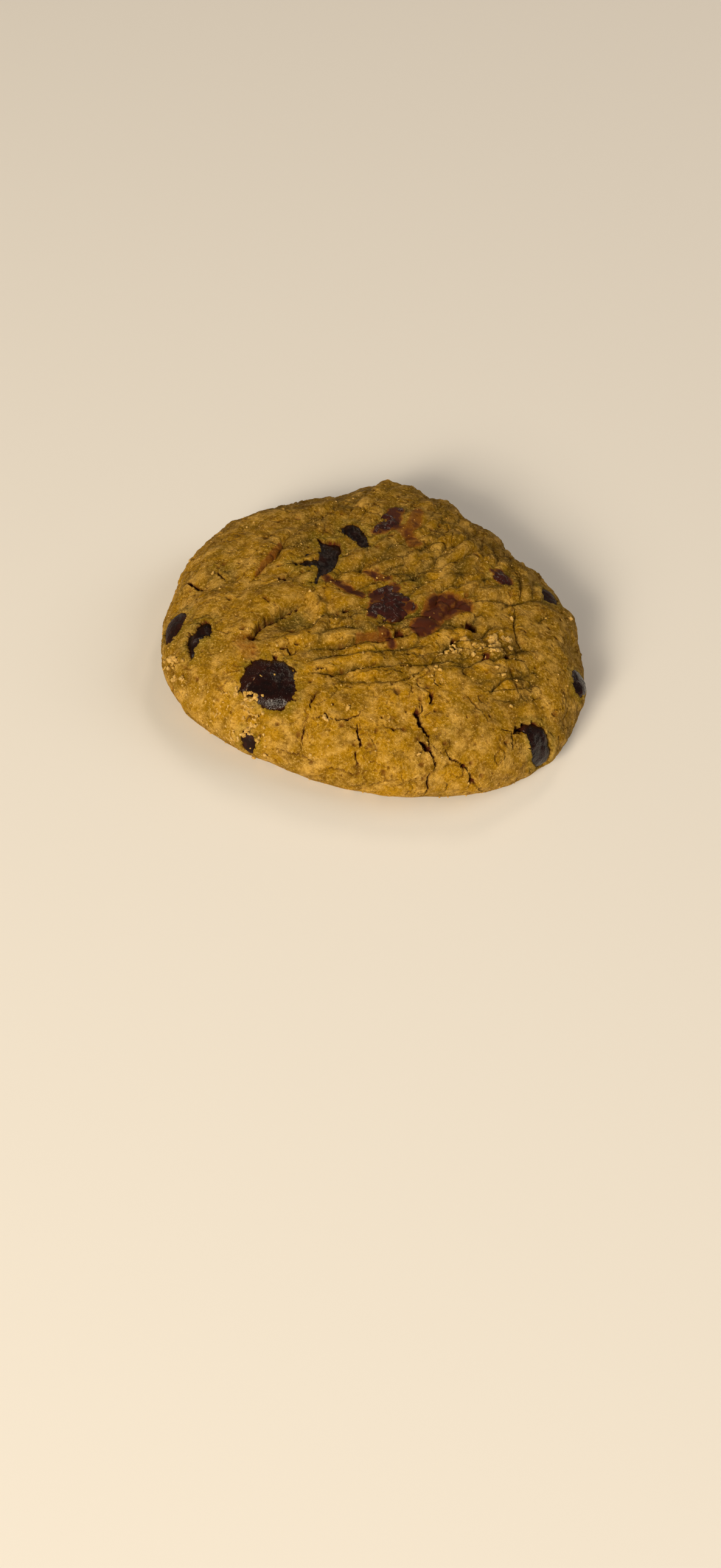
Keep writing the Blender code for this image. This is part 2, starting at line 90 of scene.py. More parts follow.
# Torn layers of the crown: spacing, length along the grain, layers in a unit of noise, the height of a
# layer's torn edge, and seed; and the share of a layer that its edge takes. The folded places: right, back,
# reach and how strongly; how wide their edge is; and how strongly the rest is folded.
LAYERS = ((4, 16, 5, 0.8, 17.7), (2.2, 10, 3, 0.4, 23.1))
LAYER_EDGE = 0.16
FOLDED_PLACES = (
    (-3, -17, 11, 0.65), (12, -8, 12, 0.7), (4, 6, 14, 0.52), (13, 19, 14, 0.46), (-15, 6, 8, 0.5),
    (24, -13, 8, 0.8), (0, 31, 12, 0.32), (27, 13, 8, 0.35), (-12, 21, 10, 0.3), (-33, -4, 5, 0.4),
    (30, 34, 10, 0.4), (-28, 36, 8, 0.4),
)
FOLDED_EDGE = 4
UNFOLDED_SHARE = 0.15

# Flakes torn at one edge: points along the edge, with the raised side on the left of the way they run,
# its rise and how far back from the edge it is raised. Part of the step is above the crust and part below;
# its edge is this wide, and the groove at its foot has this half width and depth.
FLAKES = (
    (((-14, -6.9), (-17, -9), (-20, -12.4), (-22.2, -16.4), (-22.9, -19.2)), -1.9, 5),
    (((14.6, -9.6), (13.4, -13), (12, -16), (10.5, -20.1), (6.4, -25)), 1.4, 5),
    (((22.6, -20.2), (23.9, -17.1), (26.4, -14)), 1.4, 4),
    (((18, -14.2), (23.1, -11.9), (28.8, -8.6)), 1.6, 4),
    (((-8.4, -19), (-4.2, -16.8), (1.5, -15.2)), 1.3, 3.5),
    (((-11.6, -26.4), (-5.9, -25.2), (0.4, -21.6)), 1.2, 3.5),
    (((-26.8, -4), (-25.6, 0.4), (-23.6, 4.6), (-22.9, 9)), 0.6, 3.5),
    (((-23, -5.8), (-20.6, -3.2), (-19, 0.8)), 0.7, 3.5),
    (((4.7, 13.8), (8, 17.9), (15.1, 21)), -1, 3),
    (((10.2, 9.4), (12, 13.4), (17.6, 18.6)), -1, 3),
    (((17, 2.4), (23.1, 5.3), (29.4, 8.8)), -1.1, 3.5),
    (((26.4, 5), (26.6, -3.6), (28.8, -6.6)), 1.1, 4),
)
FLAKE_STEP = (0.6, -0.4)
FLAKE_EDGE = 0.4
FLAKE_FOOT = (0.45, 1.3)

# Ridges that stand out among the folds, and grooves, which have a height below 0: points, height and half
# width.
RIDGES = (
    (((-14.8, -5.8), (-13, -6.8), (-11.6, -8.6), (-10.8, -11.6), (-10.9, -14.4), (-11.8, -16.4)), 1.7,
      0.8),
    (((-14, -9.8), (-15.8, -12.4), (-18.2, -15)), -1, 2.4),
    (((-24, -8), (-20.6, -8.4), (-17, -7.2)), 0.8, 2.4),
    (((-24.2, -21.2), (-20.1, -19.7), (-17.6, -18.6), (-12.5, -17.1), (-7.3, -15.7), (0.4, -12.4)), 1,
      1.3),
    (((-22.6, -9), (-20, -6.8), (-15.8, -5.2)), 0.8, 1.6),
    (((-10.9, -4.1), (-6.5, -5.6), (-3.4, -3.2)), 1, 0.9),
    (((-10.2, -11.8), (-5.2, -12.9), (-0.2, -13.3), (3, -11.6)), 1, 0.9),
    (((4.6, -3), (6.4, -1.2), (7.6, -2.8)), 1, 1.1),
    (((4.2, 13.6), (7.8, 19.3), (11.9, 23), (15.6, 24.4)), 1.5, 1.3),
    (((8.8, 12.4), (12.5, 17), (14.7, 20.5), (18.2, 23.6)), 1.5, 1.1),
    (((12.4, 10.2), (15.6, 14.9), (17.6, 18.4)), 1.3, 1),
    (((5.4, 8.6), (6.6, 10.8), (8.6, 13.6)), 1.1, 0.9),
    (((1.6, 9.4), (3.4, 12.4), (5.2, 17.2)), 1, 0.9),
    (((15.8, 8.4), (16.6, 12), (16.9, 15)), 1, 0.8),
    (((18.2, 5.4), (21.9, 8.2), (25, 11.8)), 1.3, 1.2),
    (((25.6, 8), (25.9, 11.6), (25.8, 15)), 1, 0.8),
    (((28, 9.4), (28.6, 13), (28.4, 16.6)), 1, 0.8),
    (((31.2, 10.4), (31.7, 13.4), (31.2, 16.6)), 0.9, 0.8),
    (((-7, 5.4), (-4.6, 9.6), (-1.6, 13)), 1.1, 1.1),
    (((-9.9, 3), (-8.4, 7), (-6.4, 11)), 1.3, 1.2),
    (((-3.6, 5.6), (0, 9.4), (1.4, 13)), 1, 1),
    (((5.6, 5), (8.2, 9.4), (10.4, 12.6)), 1, 0.9),
    (((8.6, 3.4), (11.3, 6.5), (14.6, 9.6)), 1.1, 0.9),
    (((15.2, 3.6), (17.6, 8.8)), 0.9, 0.8),
    (((17.6, -16), (21, -13.2), (24.6, -11.6), (27.4, -10.2)), 1, 1.1),
    (((-21.6, 2.6), (-20.2, 9), (-18.6, 14.6), (-17.4, 19.6)), 1.3, 1.9),
    (((-22.8, 18), (-20.8, 23.4), (-16.6, 25)), 1, 1.8),
    (((-16, 23), (-15.2, 30)), 1, 1.6),
    (((-13.8, 21.6), (-11, 26)), 0.9, 1.4),
    (((-27.2, -1), (-26, 5.2), (-24.2, 10), (-23.8, 14.4)), 0.8, 1.6),
    (((-25.2, 0.6), (-23.4, 4.6), (-22.8, 9.6), (-20.9, 14.8)), -0.7, 0.6),
    (((9, 16.6), (11, 19.4), (14, 21.8)), -1.2, 0.55),
    (((12.2, 13), (14.6, 17.2), (16.6, 20.4)), -1.1, 0.5),
    (((5.8, 14), (7.2, 15.6), (8.6, 17.6)), -0.8, 0.5),
    (((-12.3, -5.5), (-11.7, -9.1), (-10.4, -12.6)), -0.9, 0.35),
    (((23.8, 4.7), (27.2, 7.4), (30.2, 9.4)), -1.4, 0.5),
    (((30.8, 2), (33.2, 6.6)), -0.8, 0.4),
    (((26.9, 15), (27.1, 9.2)), -0.7, 0.4),
    (((-6.6, 2.6), (-5.9, 6.6), (-3.4, 10.2)), -1, 0.5),
    (((-2.2, 4.2), (1, 7.6), (3.4, 11.6)), -1, 0.5),
    (((4.9, 3.2), (4.7, 6.4)), -1.1, 0.9),
    (((6.9, 7.4), (9.4, 12.6)), -0.8, 0.45),
    (((13.4, 5), (15.2, 8.4)), -0.9, 0.5),
    (((18.6, 9.4), (20, 13.2)), -0.9, 0.7),
)

# Baking cracks: points along the crack, its depth and its half width.
CRACKS = (
    (((10.4, -29.4), (10.8, -31), (12.2, -32.8), (13.4, -33.8), (14.3, -34.9)), 2, 0.62),
    (((14, -34.5), (14.9, -37), (16.6, -39), (17.2, -40.6)), 1.3, 0.22),
    (((16.9, -40.2), (16.6, -42), (16.8, -43.6), (17.3, -44.4), (18.5, -47.6)), 1.3, 0.24),
    (((12.2, -36.2), (13.6, -36.8), (15.2, -37.4)), 1.8, 0.55),
    (((12.5, -25.2), (12.6, -26.4), (12.8, -27.7)), 1.4, 0.62),
    (((10.8, -28), (11.4, -29.4), (11, -30.6)), 0.9, 0.16),
    (((17.4, -35.4), (19.2, -37.2), (21.2, -37), (23, -37.3), (25.2, -38.8), (27.5, -39.3),
      (32.3, -40.2)), 1.2, 0.2),
    (((24, -37.6), (25.2, -38.8), (26.2, -40.6)), 1.2, 0.24),
    (((-9.6, -31), (-10.3, -33), (-10.1, -35.7)), 1.1, 0.18),
    (((-10.4, -38.2), (-10.9, -40), (-10.8, -42.8)), 1, 0.17),
    (((-9.6, -37.2), (-7.3, -35.9), (-5.9, -36.6), (-3.2, -36.4), (-1, -34.8), (0.3, -33.2)), 1, 0.2),
    (((-0.5, -36.3), (0.1, -38.5), (1.2, -40), (0.7, -41.4)), 1.2, 0.2),
    (((0.4, -41.9), (0.8, -43.4), (1.5, -45)), 1.1, 0.22),
    (((-42.4, -1), (-38.4, -3.8), (-34.6, -6.9)), 1.4, 0.34),
    (((-34.6, -1.4), (-33.2, -2.4), (-32, -4)), 1.2, 0.36),
    (((25.6, -27.6), (28.3, -26.5), (29.4, -27.8), (30.2, -30)), 0.9, 0.16),
    (((29.2, -26.4), (30.6, -24.6), (32.2, -23.2), (33.4, -22)), 2.6, 0.9),
    (((-15.4, -8.6), (-17.8, -10.9), (-20.6, -14), (-22.2, -17), (-22.8, -19.2)), 1.6, 0.42),
    (((-5.2, -25), (-3.7, -24.3), (-1.9, -23.3), (-0.2, -22.2), (1.1, -20.9)), 1, 0.2),
    (((-11.5, -26.1), (-9.6, -25.6), (-6.8, -25.6)), 0.7, 0.14),
    (((5.4, -21.4), (6.7, -20.1), (8.8, -19)), 0.8, 0.16),
    (((-16.4, -19.6), (-16.1, -21.1), (-15.2, -22), (-14.2, -20.2)), 0.9, 0.18),
    (((2.6, -24.6), (5.1, -22.7), (7.9, -22.1)), 0.6, 0.14),
    (((-7.6, -18.6), (-4.2, -17.2), (-0.6, -15.9), (3, -14.5)), 1.3, 0.26),
    (((-22.1, -37.8), (-22, -36.6), (-20.6, -36.6), (-19, -36.1)), 0.8, 0.15),
    (((-18, -43.6), (-12.1, -44.6), (-7.5, -45.8)), 0.7, 0.14),
    (((-6.6, -46.9), (-1.7, -46.5), (3, -47.4)), 0.7, 0.14),
    (((12.6, -20), (12.2, -22), (13.5, -24)), 0.8, 0.14),
    (((9.9, -20.6), (8.8, -22.8), (6.2, -25.2), (3.4, -26.2)), 0.7, 0.13),
    (((-16.9, -31.2), (-13.9, -33.6), (-11.8, -33.2)), 0.7, 0.12),
    (((4.4, -35.2), (6.8, -35.5), (8.6, -34.6)), 0.7, 0.14),
    (((20.2, -41.8), (22.4, -43.8), (22, -45.6)), 0.8, 0.14),
    (((14, 33), (12.6, 38), (15.6, 43.5)), 1.6, 0.46),
    (((-13, 34), (-16, 38.5), (-15, 44)), 1.6, 0.46),
    (((-36, 14), (-40, 15.5), (-44.5, 20)), 1.3, 0.4),
)

# Small dark holes: place, radius and depth.
HOLES = (
    ((-22.6, -18.9), 0.7, 1.8), ((-17, -20.2), 0.4, 1), ((-18.1, -23), 0.4, 0.8), ((-7, -8.5), 0.6, 1.2),
    ((3.7, -12), 0.9, 1.6), ((5.9, -27.8), 0.7, 0.5), ((14.2, -9.6), 0.8, 1.6), ((-20.4, -3.4), 0.8, 1.4),
    ((-14.9, -19), 0.35, 0.8), ((20.4, -13), 0.7, 1.4), ((24.2, -11.2), 0.7, 1.4),
    ((17.2, -3.9), 1.4, 1.4), ((14.2, -46.9), 0.4, 0.8), ((22.4, -37.3), 0.5, 1.3),
    ((25.6, -39.1), 0.6, 1.4), ((6.9, -35.6), 0.35, 0.5),
)

# How much more strongly the creases are darkened as painted shade than they are folded, how far up a fold
# this goes, and how strongly the flakes' feet, the grooves and the pits are darkened as painted shade.
CREASE_SHADE = 1.7
CREASE_SPAN = 0.45
FOOT_SHADE = 0.8
GROOVE_SHADE = 0.9
PIT_SHADE = 2

# Raggedness of torn edges, and of the edges of the chips' pockets: size and push, first as waves, then as
# crumbs.
RAGGED = ((2.8, 0.3), (1.2, 0.08))
RAGGED_CRUMBS = (0.6, 0.05)
POCKET_CRUMBS = ((1.2, 0.22), (0.6, 0.14))
PUSH_SEEDS = (20, 30)

# Roughness of the crust: uneven waves, by size and height, and crumbs side by side, by size, height and
# seed, the lowest this high and the others up to so much higher. Crumbs stand in patches of this size, and
# have at least this share of their height between them. Smeared chocolate fills most of the roughness.
CRUMBLE = ((4.4, 0.4), (2.2, 0.14))
CRUMBS = ((1.6, 0.26, 61), (0.75, 0.24, 66))
CRUMBLE_SEED = 50
LOWEST_CRUMB = 0.3
CRUMB_SPAN = 0.7
CRUMBLY_PATCHES = (6, 0.35)
CRUMBLY_SEED = 47
SMEARED_CALM = 0.75

# How far the folds swell sideways as the dough rises, and how often the way they swell is evened out.
SWELL = 0.4
SWELL_SOFTENED = 4

# The rising dough's highest folds stay under this height, in millimetres, or pass it by this share.
FOLDS_TOP = 19.6
ABOVE_TOP = 0.35

# A crack's jaggedness, finer than the torn edges', how steep its wall is, and its width along the way: the
# size and amount of the changes, their middle and limits, and seed.
JAGGED = ((1.8, 0.35), (0.8, 0.2))
JAGGED_CRUMBS = (0.62, 0.15)
CRACK_PINCHES = (1.2, 1.1, 0.8, (0.3, 1.6), 41)
CRACK_WALL = 0.12

# Pits: cell, radii, depth, share of cells that have one, and seed. Fine cracks of the skin: size, width
# as a share of a unit of noise, depth and the size of their patches; and their seeds.
PITS = ((3.4, (0.25, 0.65), 0.5, 0.35, 81), (1.5, (0.12, 0.3), 0.3, 0.35, 86))
HAIR_CRACKS = (3.6, 0.022, 0.35, 7)
HAIR_SEEDS = (91, 92)

# Chocolate chips: depth, how far the face stands above the dough, and the outline on the crust.
CHIPS = {
    "chip_front_large": (5.6, 0.35, ((-21.2, -23.8), (-19.6, -23.8), (-17.9, -23.9), (-16, -24.7),
        (-14.7, -26.4), (-14, -28.6), (-13.7, -31.2), (-14.1, -33.3), (-15.2, -34.9), (-17, -35.5),
        (-19, -34.9), (-20.9, -33.1), (-22.2, -31.9), (-23.5, -31.2), (-23.7, -29), (-23.2, -27.2),
        (-22.3, -25.3))),
    "chip_front_small": (4, 0.1, ((-23.9, -40.2), (-22.8, -39.4), (-21.2, -41), (-21.6, -43),
        (-22.8, -44.8), (-24, -42.8))),
    "chip_front_right": (5, 0.1, ((31.4, -23.2), (33, -22.4), (34.6, -21.8), (36.4, -22.2), (38.5, -23.2),
        (40.4, -25.1), (41.2, -26.8), (40.2, -28.6), (37.2, -28.9), (35.2, -27.6), (33.4, -26),
        (31.8, -24.6))),
    "chip_left_rim": (5, 0.2, ((-41.6, -10.4), (-38.8, -11), (-36.8, -13.6), (-37.8, -17.2),
        (-40.4, -18.4), (-42.6, -15))),
    "chip_left_inner": (4.2, -0.3, ((-32.8, -16.2), (-31.2, -15.8), (-30.2, -17.4), (-30.6, -19.2),
        (-32.2, -19.8), (-33, -21.2), (-33.1, -23.2), (-34.2, -22.6), (-34.9, -20.2), (-34.7, -18),
        (-33.6, -18.6))),
    "chip_crown_long": (4.4, -0.3, ((-16.8, 12.1), (-15.2, 11.4), (-13.9, 12.5), (-12, 12.4),
        (-11.6, 9.9), (-11.5, 6), (-11.5, 3.5), (-12.5, 1.4), (-13.4, -0.4), (-13.6, -3), (-14.4, -2.8),
        (-14.5, 0.4), (-14.9, 2.6), (-16.8, 2.2), (-20, 1.2), (-20, 2), (-17.8, 3.6), (-16, 5),
        (-15.3, 6.4), (-15.7, 9.2))),
    "chip_crown_back": (4.4, 0, ((-12.5, 17.2), (-11.4, 19), (-9.5, 18.5), (-7.8, 17.6), (-6.4, 15),
        (-5.7, 12.6), (-7, 11.9), (-8.6, 13.8), (-10.6, 15.2), (-12, 15.8))),
    "chip_crown_far": (4, 0.3, ((-2.6, 25.6), (-0.8, 25.8), (-0.8, 22.4), (-1.7, 19.6), (-3.6, 17),
        (-5.2, 16.8), (-4.6, 18.8), (-3, 20.6), (-2.6, 22.8))),
    "chip_crown_melted": (4.2, 0.4, ((-2.6, -7.2), (-2.4, -4.8), (-2.9, -2.6), (-1.9, -1.3), (-0.6, -0.6),
        (0.3, 0.9), (1.7, 0.9), (1.4, -1), (2, -2.4), (3.8, -2.4), (5.2, -3.6), (4.8, -5), (3.2, -5.3),
        (2.1, -6.6), (2.4, -8.6), (1.2, -8.9), (0.7, -7.6), (-0.4, -7.6), (-1.3, -8.4), (-1.6, -9.9),
        (-2.5, -9.6))),
    "chip_right_back": (4, 0.3, ((21, 14.4), (22.2, 15.7), (24.4, 14), (24.8, 11.8), (22.2, 12))),
    "chip_right_shoulder": (4, 0.3, ((32.2, 16.2), (34, 17.6), (36.2, 16), (35.2, 12.8), (32.8, 13))),
    "chip_right_rim": (4.4, 0.6, ((40.4, -4.4), (42.6, -3.6), (43.6, -6.4), (42, -9.2), (40.2, -8))),
    "chip_rear_right": (5, 0.3, ((24.6, 38.6), (27, 40.2), (30.6, 38.4), (30.8, 34.6), (27.2, 33.6),
        (24.4, 35.6))),
    "chip_rear_middle": (5, 0.3, ((-9.4, 44.2), (-7, 47.6), (-2.6, 47.8), (-1.6, 44.6), (-5, 42.6))),
    "chip_rear_left": (5, 0.3, ((-36.4, 33), (-33.8, 34.6), (-30.4, 32.4), (-30.2, 28.4), (-33.4, 26.6),
        (-36.8, 29))),
}
BASE_CHIPS = {
    "chip_base_front": ((8.2, -18.4), (10, -13.8), (14.4, -13.2), (16.4, -17), (13.4, -20.6),
        (9.8, -20.8)),
    "chip_base_left": ((-25, 3.6), (-24.6, 8.8), (-20.4, 10.2), (-17.4, 6.6), (-18.2, 2.6), (-22, 1.4)),
    "chip_base_back": ((6.2, 22.4), (7.4, 26.8), (11.6, 26.2), (12.4, 22.8), (9.2, 20.6)),
}
BASE_CHIP_DEPTH = 3.6
BASE_CHIP_STAND = -0.03

# The dough round a chip: how far its folds are calmed, the low lip that it rises in, and how far outside the
# chip's outline its pocket starts and how wide the pocket's wall is.
CALM_REACH = 1.2
LIP_HEIGHT = 0.12
LIP_REACH = 1
POCKET_MARGIN = 0.3
POCKET_WALL = 0.3

# A chip's form: how far it is tucked under the dough and sunk in it, the depth of the dome that its face is,
# how flat that is in the middle, how far out it goes, the wall below it as shares of size and depth, and
# where on the dome the worn edge begins and how wide it is.
CHIP_TUCK = 0.7
CHIP_SINK = 0.05
CHIP_DOME = 0.8
CHIP_FLATNESS = 3.5
CHIP_FACE = 0.92
CHIP_WALL = ((0.98, 0.13), (1, 0.24), (0.97, 0.45), (0.85, 0.7), (0.55, 0.93), (0, 1))
CHIP_EDGE = (0.35, 0.5)
CHIP_SEGMENTS = 160
CHIP_FACE_RINGS = 22
CHIP_WAVE_SEED = 70

# Where a chip has split: the node, points along the split, its depth and half width. The part on the left
# of the way that it runs is duller.
SPLIT_CHIP = "chip_front_large"
SPLIT = ((-18.7, -23), (-18.7, -25.1), (-20.4, -27.2), (-21.7, -29.5), (-22.3, -30.4), (-22.8, -32.6))
SPLIT_SIZE = (0.3, 0.16)
SPLIT_DULLNESS = 0.4
SPLIT_SEED = 95

# Places painted darker, partly browned in the oven and partly as painted shade on sides turned from the
# light: right, back, reach and share.
TOASTED_AND_SHADED_PLACES = (
    (-28, -8, 12, 0.15), (24, -28, 10, 0.3), (-6, 4, 12, 0.2), (-26, 26, 20, 0.6), (38, 4, 16, 0.45),
    (6, 34, 22, 0.4), (-38, -22, 12, 0.5), (30, 32, 18, 0.6), (-22.5, -21, 3, 0.5), (0.5, 15, 4, 0.3),
    (44, -14, 9, 0.5),
)

# Places where the dough is painted olive as shade, mostly in its hollows: right, back, reach and share; and
# this far round every chip.
OLIVE_SHADE_PLACES = (
    (-15.6, -12.6, 4.2, 0.9), (-1.4, -17.2, 3.6, 0.8), (5, 4, 3.4, 0.8), (-8, -9, 3, 0.5),
    (-31, -21, 4, 0.6), (17.6, -4, 3.4, 0.6), (9, 16, 4, 0.5), (27, 0, 4, 0.5), (-24, 24, 8, 0.5),
    (-30, 4, 6, 0.4), (18, -30, 5, 0.45), (30, -10, 5, 0.4), (-34, -2, 4, 0.6),
)
OLIVE_SHADE_REACH = 4

# How chips come out of the oven: the chocolate's name, colour, deeper colour, roughness, shine and
# unevenness, the depth of the pocket that the dough leaves it, how much the dough's folds calm down there,
# and the waves of the chip's face. Bloom roughens them by this. Chips that aren't named are glossy.
OVEN_LOOKS = {
    "glossy": (
        "dark_chocolate", "#1c0502", "#0c0201", 0.08, 0.4, 0.55, 2.6, 1, ((2.4, 0.2), (1, 0.12))),
    "softened": (
        "softened_chocolate", "#1d0a06", "#0b0302", 0.3, 0.22, 0.5, 2, 0.95, ((2.2, 0.6), (1, 0.3))),
    "melted": (
        "melted_chocolate", "#340f08", "#220905", 0.16, 0.5, 0.4, 0, 0.6,
        ((3.4, 1.2), (1.3, 0.6), (0.7, 0.2))),
    "dull": (
        "dull_chocolate", "#2a110a", "#180805", 0.45, 0.14, 0.5, 2.2, 1, ((2.4, 0.2), (1, 0.1))),
}
BLOOM = 0.25
CHIP_LOOKS = {
    "chip_crown_melted": "melted", "chip_crown_far": "melted", "chip_right_back": "melted",
    "chip_crown_back": "softened", "chip_crown_long": "softened", "chip_left_inner": "softened",
    "chip_left_rim": "dull", "chip_front_small": "dull", "chip_right_shoulder": "dull",
}

# Crumbs: how many lie anywhere, with their least and greatest size; lumps of crumbs stuck together, by
# place and radius; and the crumbs of a lump, by the fewest, the count in a square millimetre and sizes, how
# far they spread in it, and the share of their size that crumbs of the smallest lumps have.
LOOSE_CRUMBS = (160, 0.3, 0.5)
CRUMB_LUMPS = (
    (15.9, -9.5, 0.9), (17.9, -10.4, 0.5), (21.4, -6.9, 1.1), (21.9, -8.7, 0.9), (21, -9.4, 0.7),
    (24.4, -5.6, 0.8), (23.4, -5.9, 0.6), (21.7, -11.7, 0.7), (20.7, -11.9, 0.5), (15.1, -12.9, 0.6),
    (14.2, -13.2, 0.5), (18, -13, 0.5), (12.5, -14.7, 0.5), (13.5, -14.1, 0.5), (22.6, -10.3, 0.6),
    (24.6, -8.2, 0.6), (-22.3, -31.8, 0.6), (-21.5, -31.6, 0.5), (-20.7, -32.4, 0.5), (-22.5, -32.9, 0.5),
    (-24.3, -31.5, 0.5), (-23, -33.8, 0.4), (-21.2, -34.8, 0.4), (-19.1, -36.1, 0.4), (-20.3, -36.5, 0.4),
    (-22.9, -36.7, 0.4), (-20, -28, 0.2), (-17.7, -27.7, 0.12), (-19.5, -32.5, 0.12), (-24.2, -30.4, 0.4),
    (-37.5, -22.7, 0.6), (-39, -22, 0.7), (-36.2, -26.6, 0.6), (-38.6, -26.1, 0.6), (-35.3, -23.5, 0.4),
    (-7.1, -36.5, 0.5), (-6.3, -36.9, 0.4), (-8.9, -44.3, 0.4), (-20.6, -38.4, 0.6), (-23.3, -40.1, 0.5),
    (-19.5, -45, 0.4), (-16.7, -44.5, 0.4), (-24.3, -46.7, 0.4), (-22, -39, 0.5), (-20.4, -41.6, 0.5),
    (14.7, -14.1, 0.5), (15.3, -12.6, 0.5), (12.9, -20.1, 0.4), (21.9, -11.5, 0.5), (22.7, -15.3, 0.5),
    (24.3, -15.7, 0.5), (27.2, -21.2, 0.4), (-2.8, -33.6, 0.5), (14.9, -32.6, 0.4), (12.9, -38.6, 0.4),
    (-14, -6, 0.3), (25.3, 1.1, 0.5), (38.4, 10, 0.5), (-42.8, 7, 0.3), (-31.7, 15, 0.3),
    (-34.9, -1.9, 0.35),
)
LUMP_CRUMBS = (4, 16, 0.5, 0.85)
LUMP_SPREAD = 0.38
LUMP_SHARE = 0.3

# Places where loose crumbs have fallen: middle, reach, count and sizes; most lie this many times nearer than
# the reach. Sugar grains that glint: how many, and sizes. Crumbs and grains alike: their stretch, the size
# of their bumps as a share of theirs, how far they are sunk in, the skin that joins crumbs, the height that
# none passes, how far they keep from the rim and the chips where they lie anywhere, and how far they drop.
CRUMB_CLUSTERS = (
    ((22, -9), 3, 12, 0.35, 0.6), ((14.5, -12), 1.8, 6, 0.35, 0.6), ((20, -12.6), 2.2, 6, 0.35, 0.6),
    ((-22, -33.6), 2.6, 16, 0.3, 0.6), ((-39, -22.5), 2.2, 10, 0.4, 0.8),
    ((-21, -40), 3.2, 16, 0.35, 0.7), ((-25.4, -40), 2, 12, 0.35, 0.7), ((-8, -13), 4, 7, 0.35, 0.6),
    ((-2, -19), 4, 8, 0.35, 0.6), ((12.6, -22), 2, 12, 0.35, 0.7), ((-27, -35), 5, 50, 0.25, 0.5),
    ((-34, -29), 4, 25, 0.25, 0.45), ((21.5, -8.6), 4, 30, 0.3, 0.55),
)
CLUSTER_SPREAD = 1.6
SUGAR_GRAINS = (600, 0.1, 0.2)
LUMP_STRETCH = (0.7, 1.25)
LUMP_BUMPS = 0.6
GRAIN_SINK = 0.5
CRUMB_SKIN = 0.11
CRUMBS_TOP = 20.5
RIM_CLEARANCE = 1
CHIP_CLEARANCE = 0.8
SCATTER_SEED = 7
DROP = 8

# Thin chocolate smears on the dough: points along the smear, half width and strength. Melted chips smear it
# this far round them.
SMEARS = (
    (((15.4, 1.4), (12, 0.6), (9.6, -1.4), (9.4, -4.6), (7.8, -9)), 1.7, 1),
    (((13.6, -0.6), (11.4, -2.6)), 1.3, 0.8),
    (((-12, -0.6), (-9, -1.4), (-5, -3.4)), 1, 0.9),
    (((-4.8, 3.8), (-2.8, 3.2), (-0.6, 2.8)), 0.9, 0.8),
    (((0.4, -13.2), (2, -13.6), (3, -15.8)), 0.8, 0.8),
    (((-4, -16), (-1, -14.8), (2.6, -14.2)), 0.6, 0.5),
    (((-2, 20), (1.6, 18), (3.4, 15.6)), 1.2, 0.7),
    (((2.6, 26), (2.4, 22), (0.8, 19)), 1, 0.6),
    (((-23.6, -20), (-22.4, -22.4)), 1.6, 0.28),
    (((-26, -2), (-24.6, 3.4), (-23.4, 7.6)), 0.5, 0.55),
)
SMEAR_REACH = 0.9

# The sandy grain, the patches of colour on the dough and on the chocolate, by size and seed, and the marks
# on the crust that its colour follows, most of them painted shade.
GRAIN_SIZE = 0.3
DOUGH_PATCHES = ((8, 1), (2.8, 6), (1.9, 11), (3, 2), (1.4, 4))
CHOCOLATE_PATCHES = ((1.6, 7), (0.3, 8))
CRUST_MARKS = ("crease_shade", "olive_shade", "smear", "hollow_shade", "pitted", "toasted_and_shaded")

# The mesh: rings over the crown, down the side and under the base, then thinned where the crust is smooth.
# The relief fades out towards the base, which has shallow pits: size, depth, unevenness and seed.
CROWN_RINGS = 210
CROWN_REACH = 40
SIDE_RINGS = 60
SIDE_FADE = 6
BASE_RINGS = 30
BASE_ARC = 39
BASE_PITS = (2.2, 0.16, 0.2, 61)
BASE_EDGE = 12
DOUGH_TRIANGLES = 190000

# Further than any distance on the cookie.
FAR = 1e6

# The photograph's camera, fitted to the cookie's outline: the pixel its middle falls on, and the view.
PHOTO_SIZE = (1185, 2576)
MIDDLE_PIXEL = (623, 1036)
CAMERA_ELEVATION = math.radians(41)
CAMERA_DISTANCE = 367
CAMERA_ROLL = math.radians(12)
CAMERA_TALL_ANGLE = math.radians(47)
AIM_HEIGHT = 8

# The studio's lights: name, azimuth, elevation, distance and size in metres, watts, colour, and whether
# shiny things mirror them. Then the strength of the even light all round.
LIGHTS = (
    ("window", -19, 25, 1.6, 0.6, 20.5, "#fff0d8", False),
    ("glint", -19, 25, 1.4, 0.3, 13.4, "#fff0d8", True),
    ("bounce", 110, 40, 1.8, 1.2, 11, "#fff8f0", False),
    ("back", 172, 46, 1.6, 0.35, 3.6, "#ffe6cc", True),
)
SURROUND_STRENGTH = 0.18
FLOOR_REACH = 3000


def smooth_curve(points, steps, closed=False):
    """Points along a Catmull-Rom curve through the given ones."""
    given = np.asarray(points, float)
    if closed:
        padded = np.vstack([given[-1:], given, given[:2]])
    else:
        padded = np.vstack([2 * given[0] - given[1], given, 2 * given[-1] - given[-2]])
    curve = []
    for before, start, end, after in zip(padded, padded[1:], padded[2:], padded[3:]):
        t = np.linspace(0, 1, steps, endpoint=False)[:, None]
        cubic = (-before + 3 * start - 3 * end + after) * t**3
        square = (2 * before - 5 * start + 4 * end - after) * t**2
        curve.append(0.5 * (2 * start + (end - before) * t + square + cubic))
    if not closed:
        curve.append(given[-1:])
    return np.vstack(curve)


def closed_curve(points, steps):
    """A smooth closed curve that ends where it starts."""
    curve = smooth_curve(points, steps, closed=True)
    return np.vstack([curve, curve[:1]])


def section_curve():
    """Arc length down the mean section, with the share of the radius and the height at each."""
    curve = smooth_curve(SECTION, SECTION_STEPS)
    share, height = curve[:, 0], curve[:, 1] * CROWN_HEIGHT
    steps = np.hypot(np.diff(share * MEAN_RADIUS), np.diff(height))
    return np.concatenate([[0], np.cumsum(steps)]), share, height


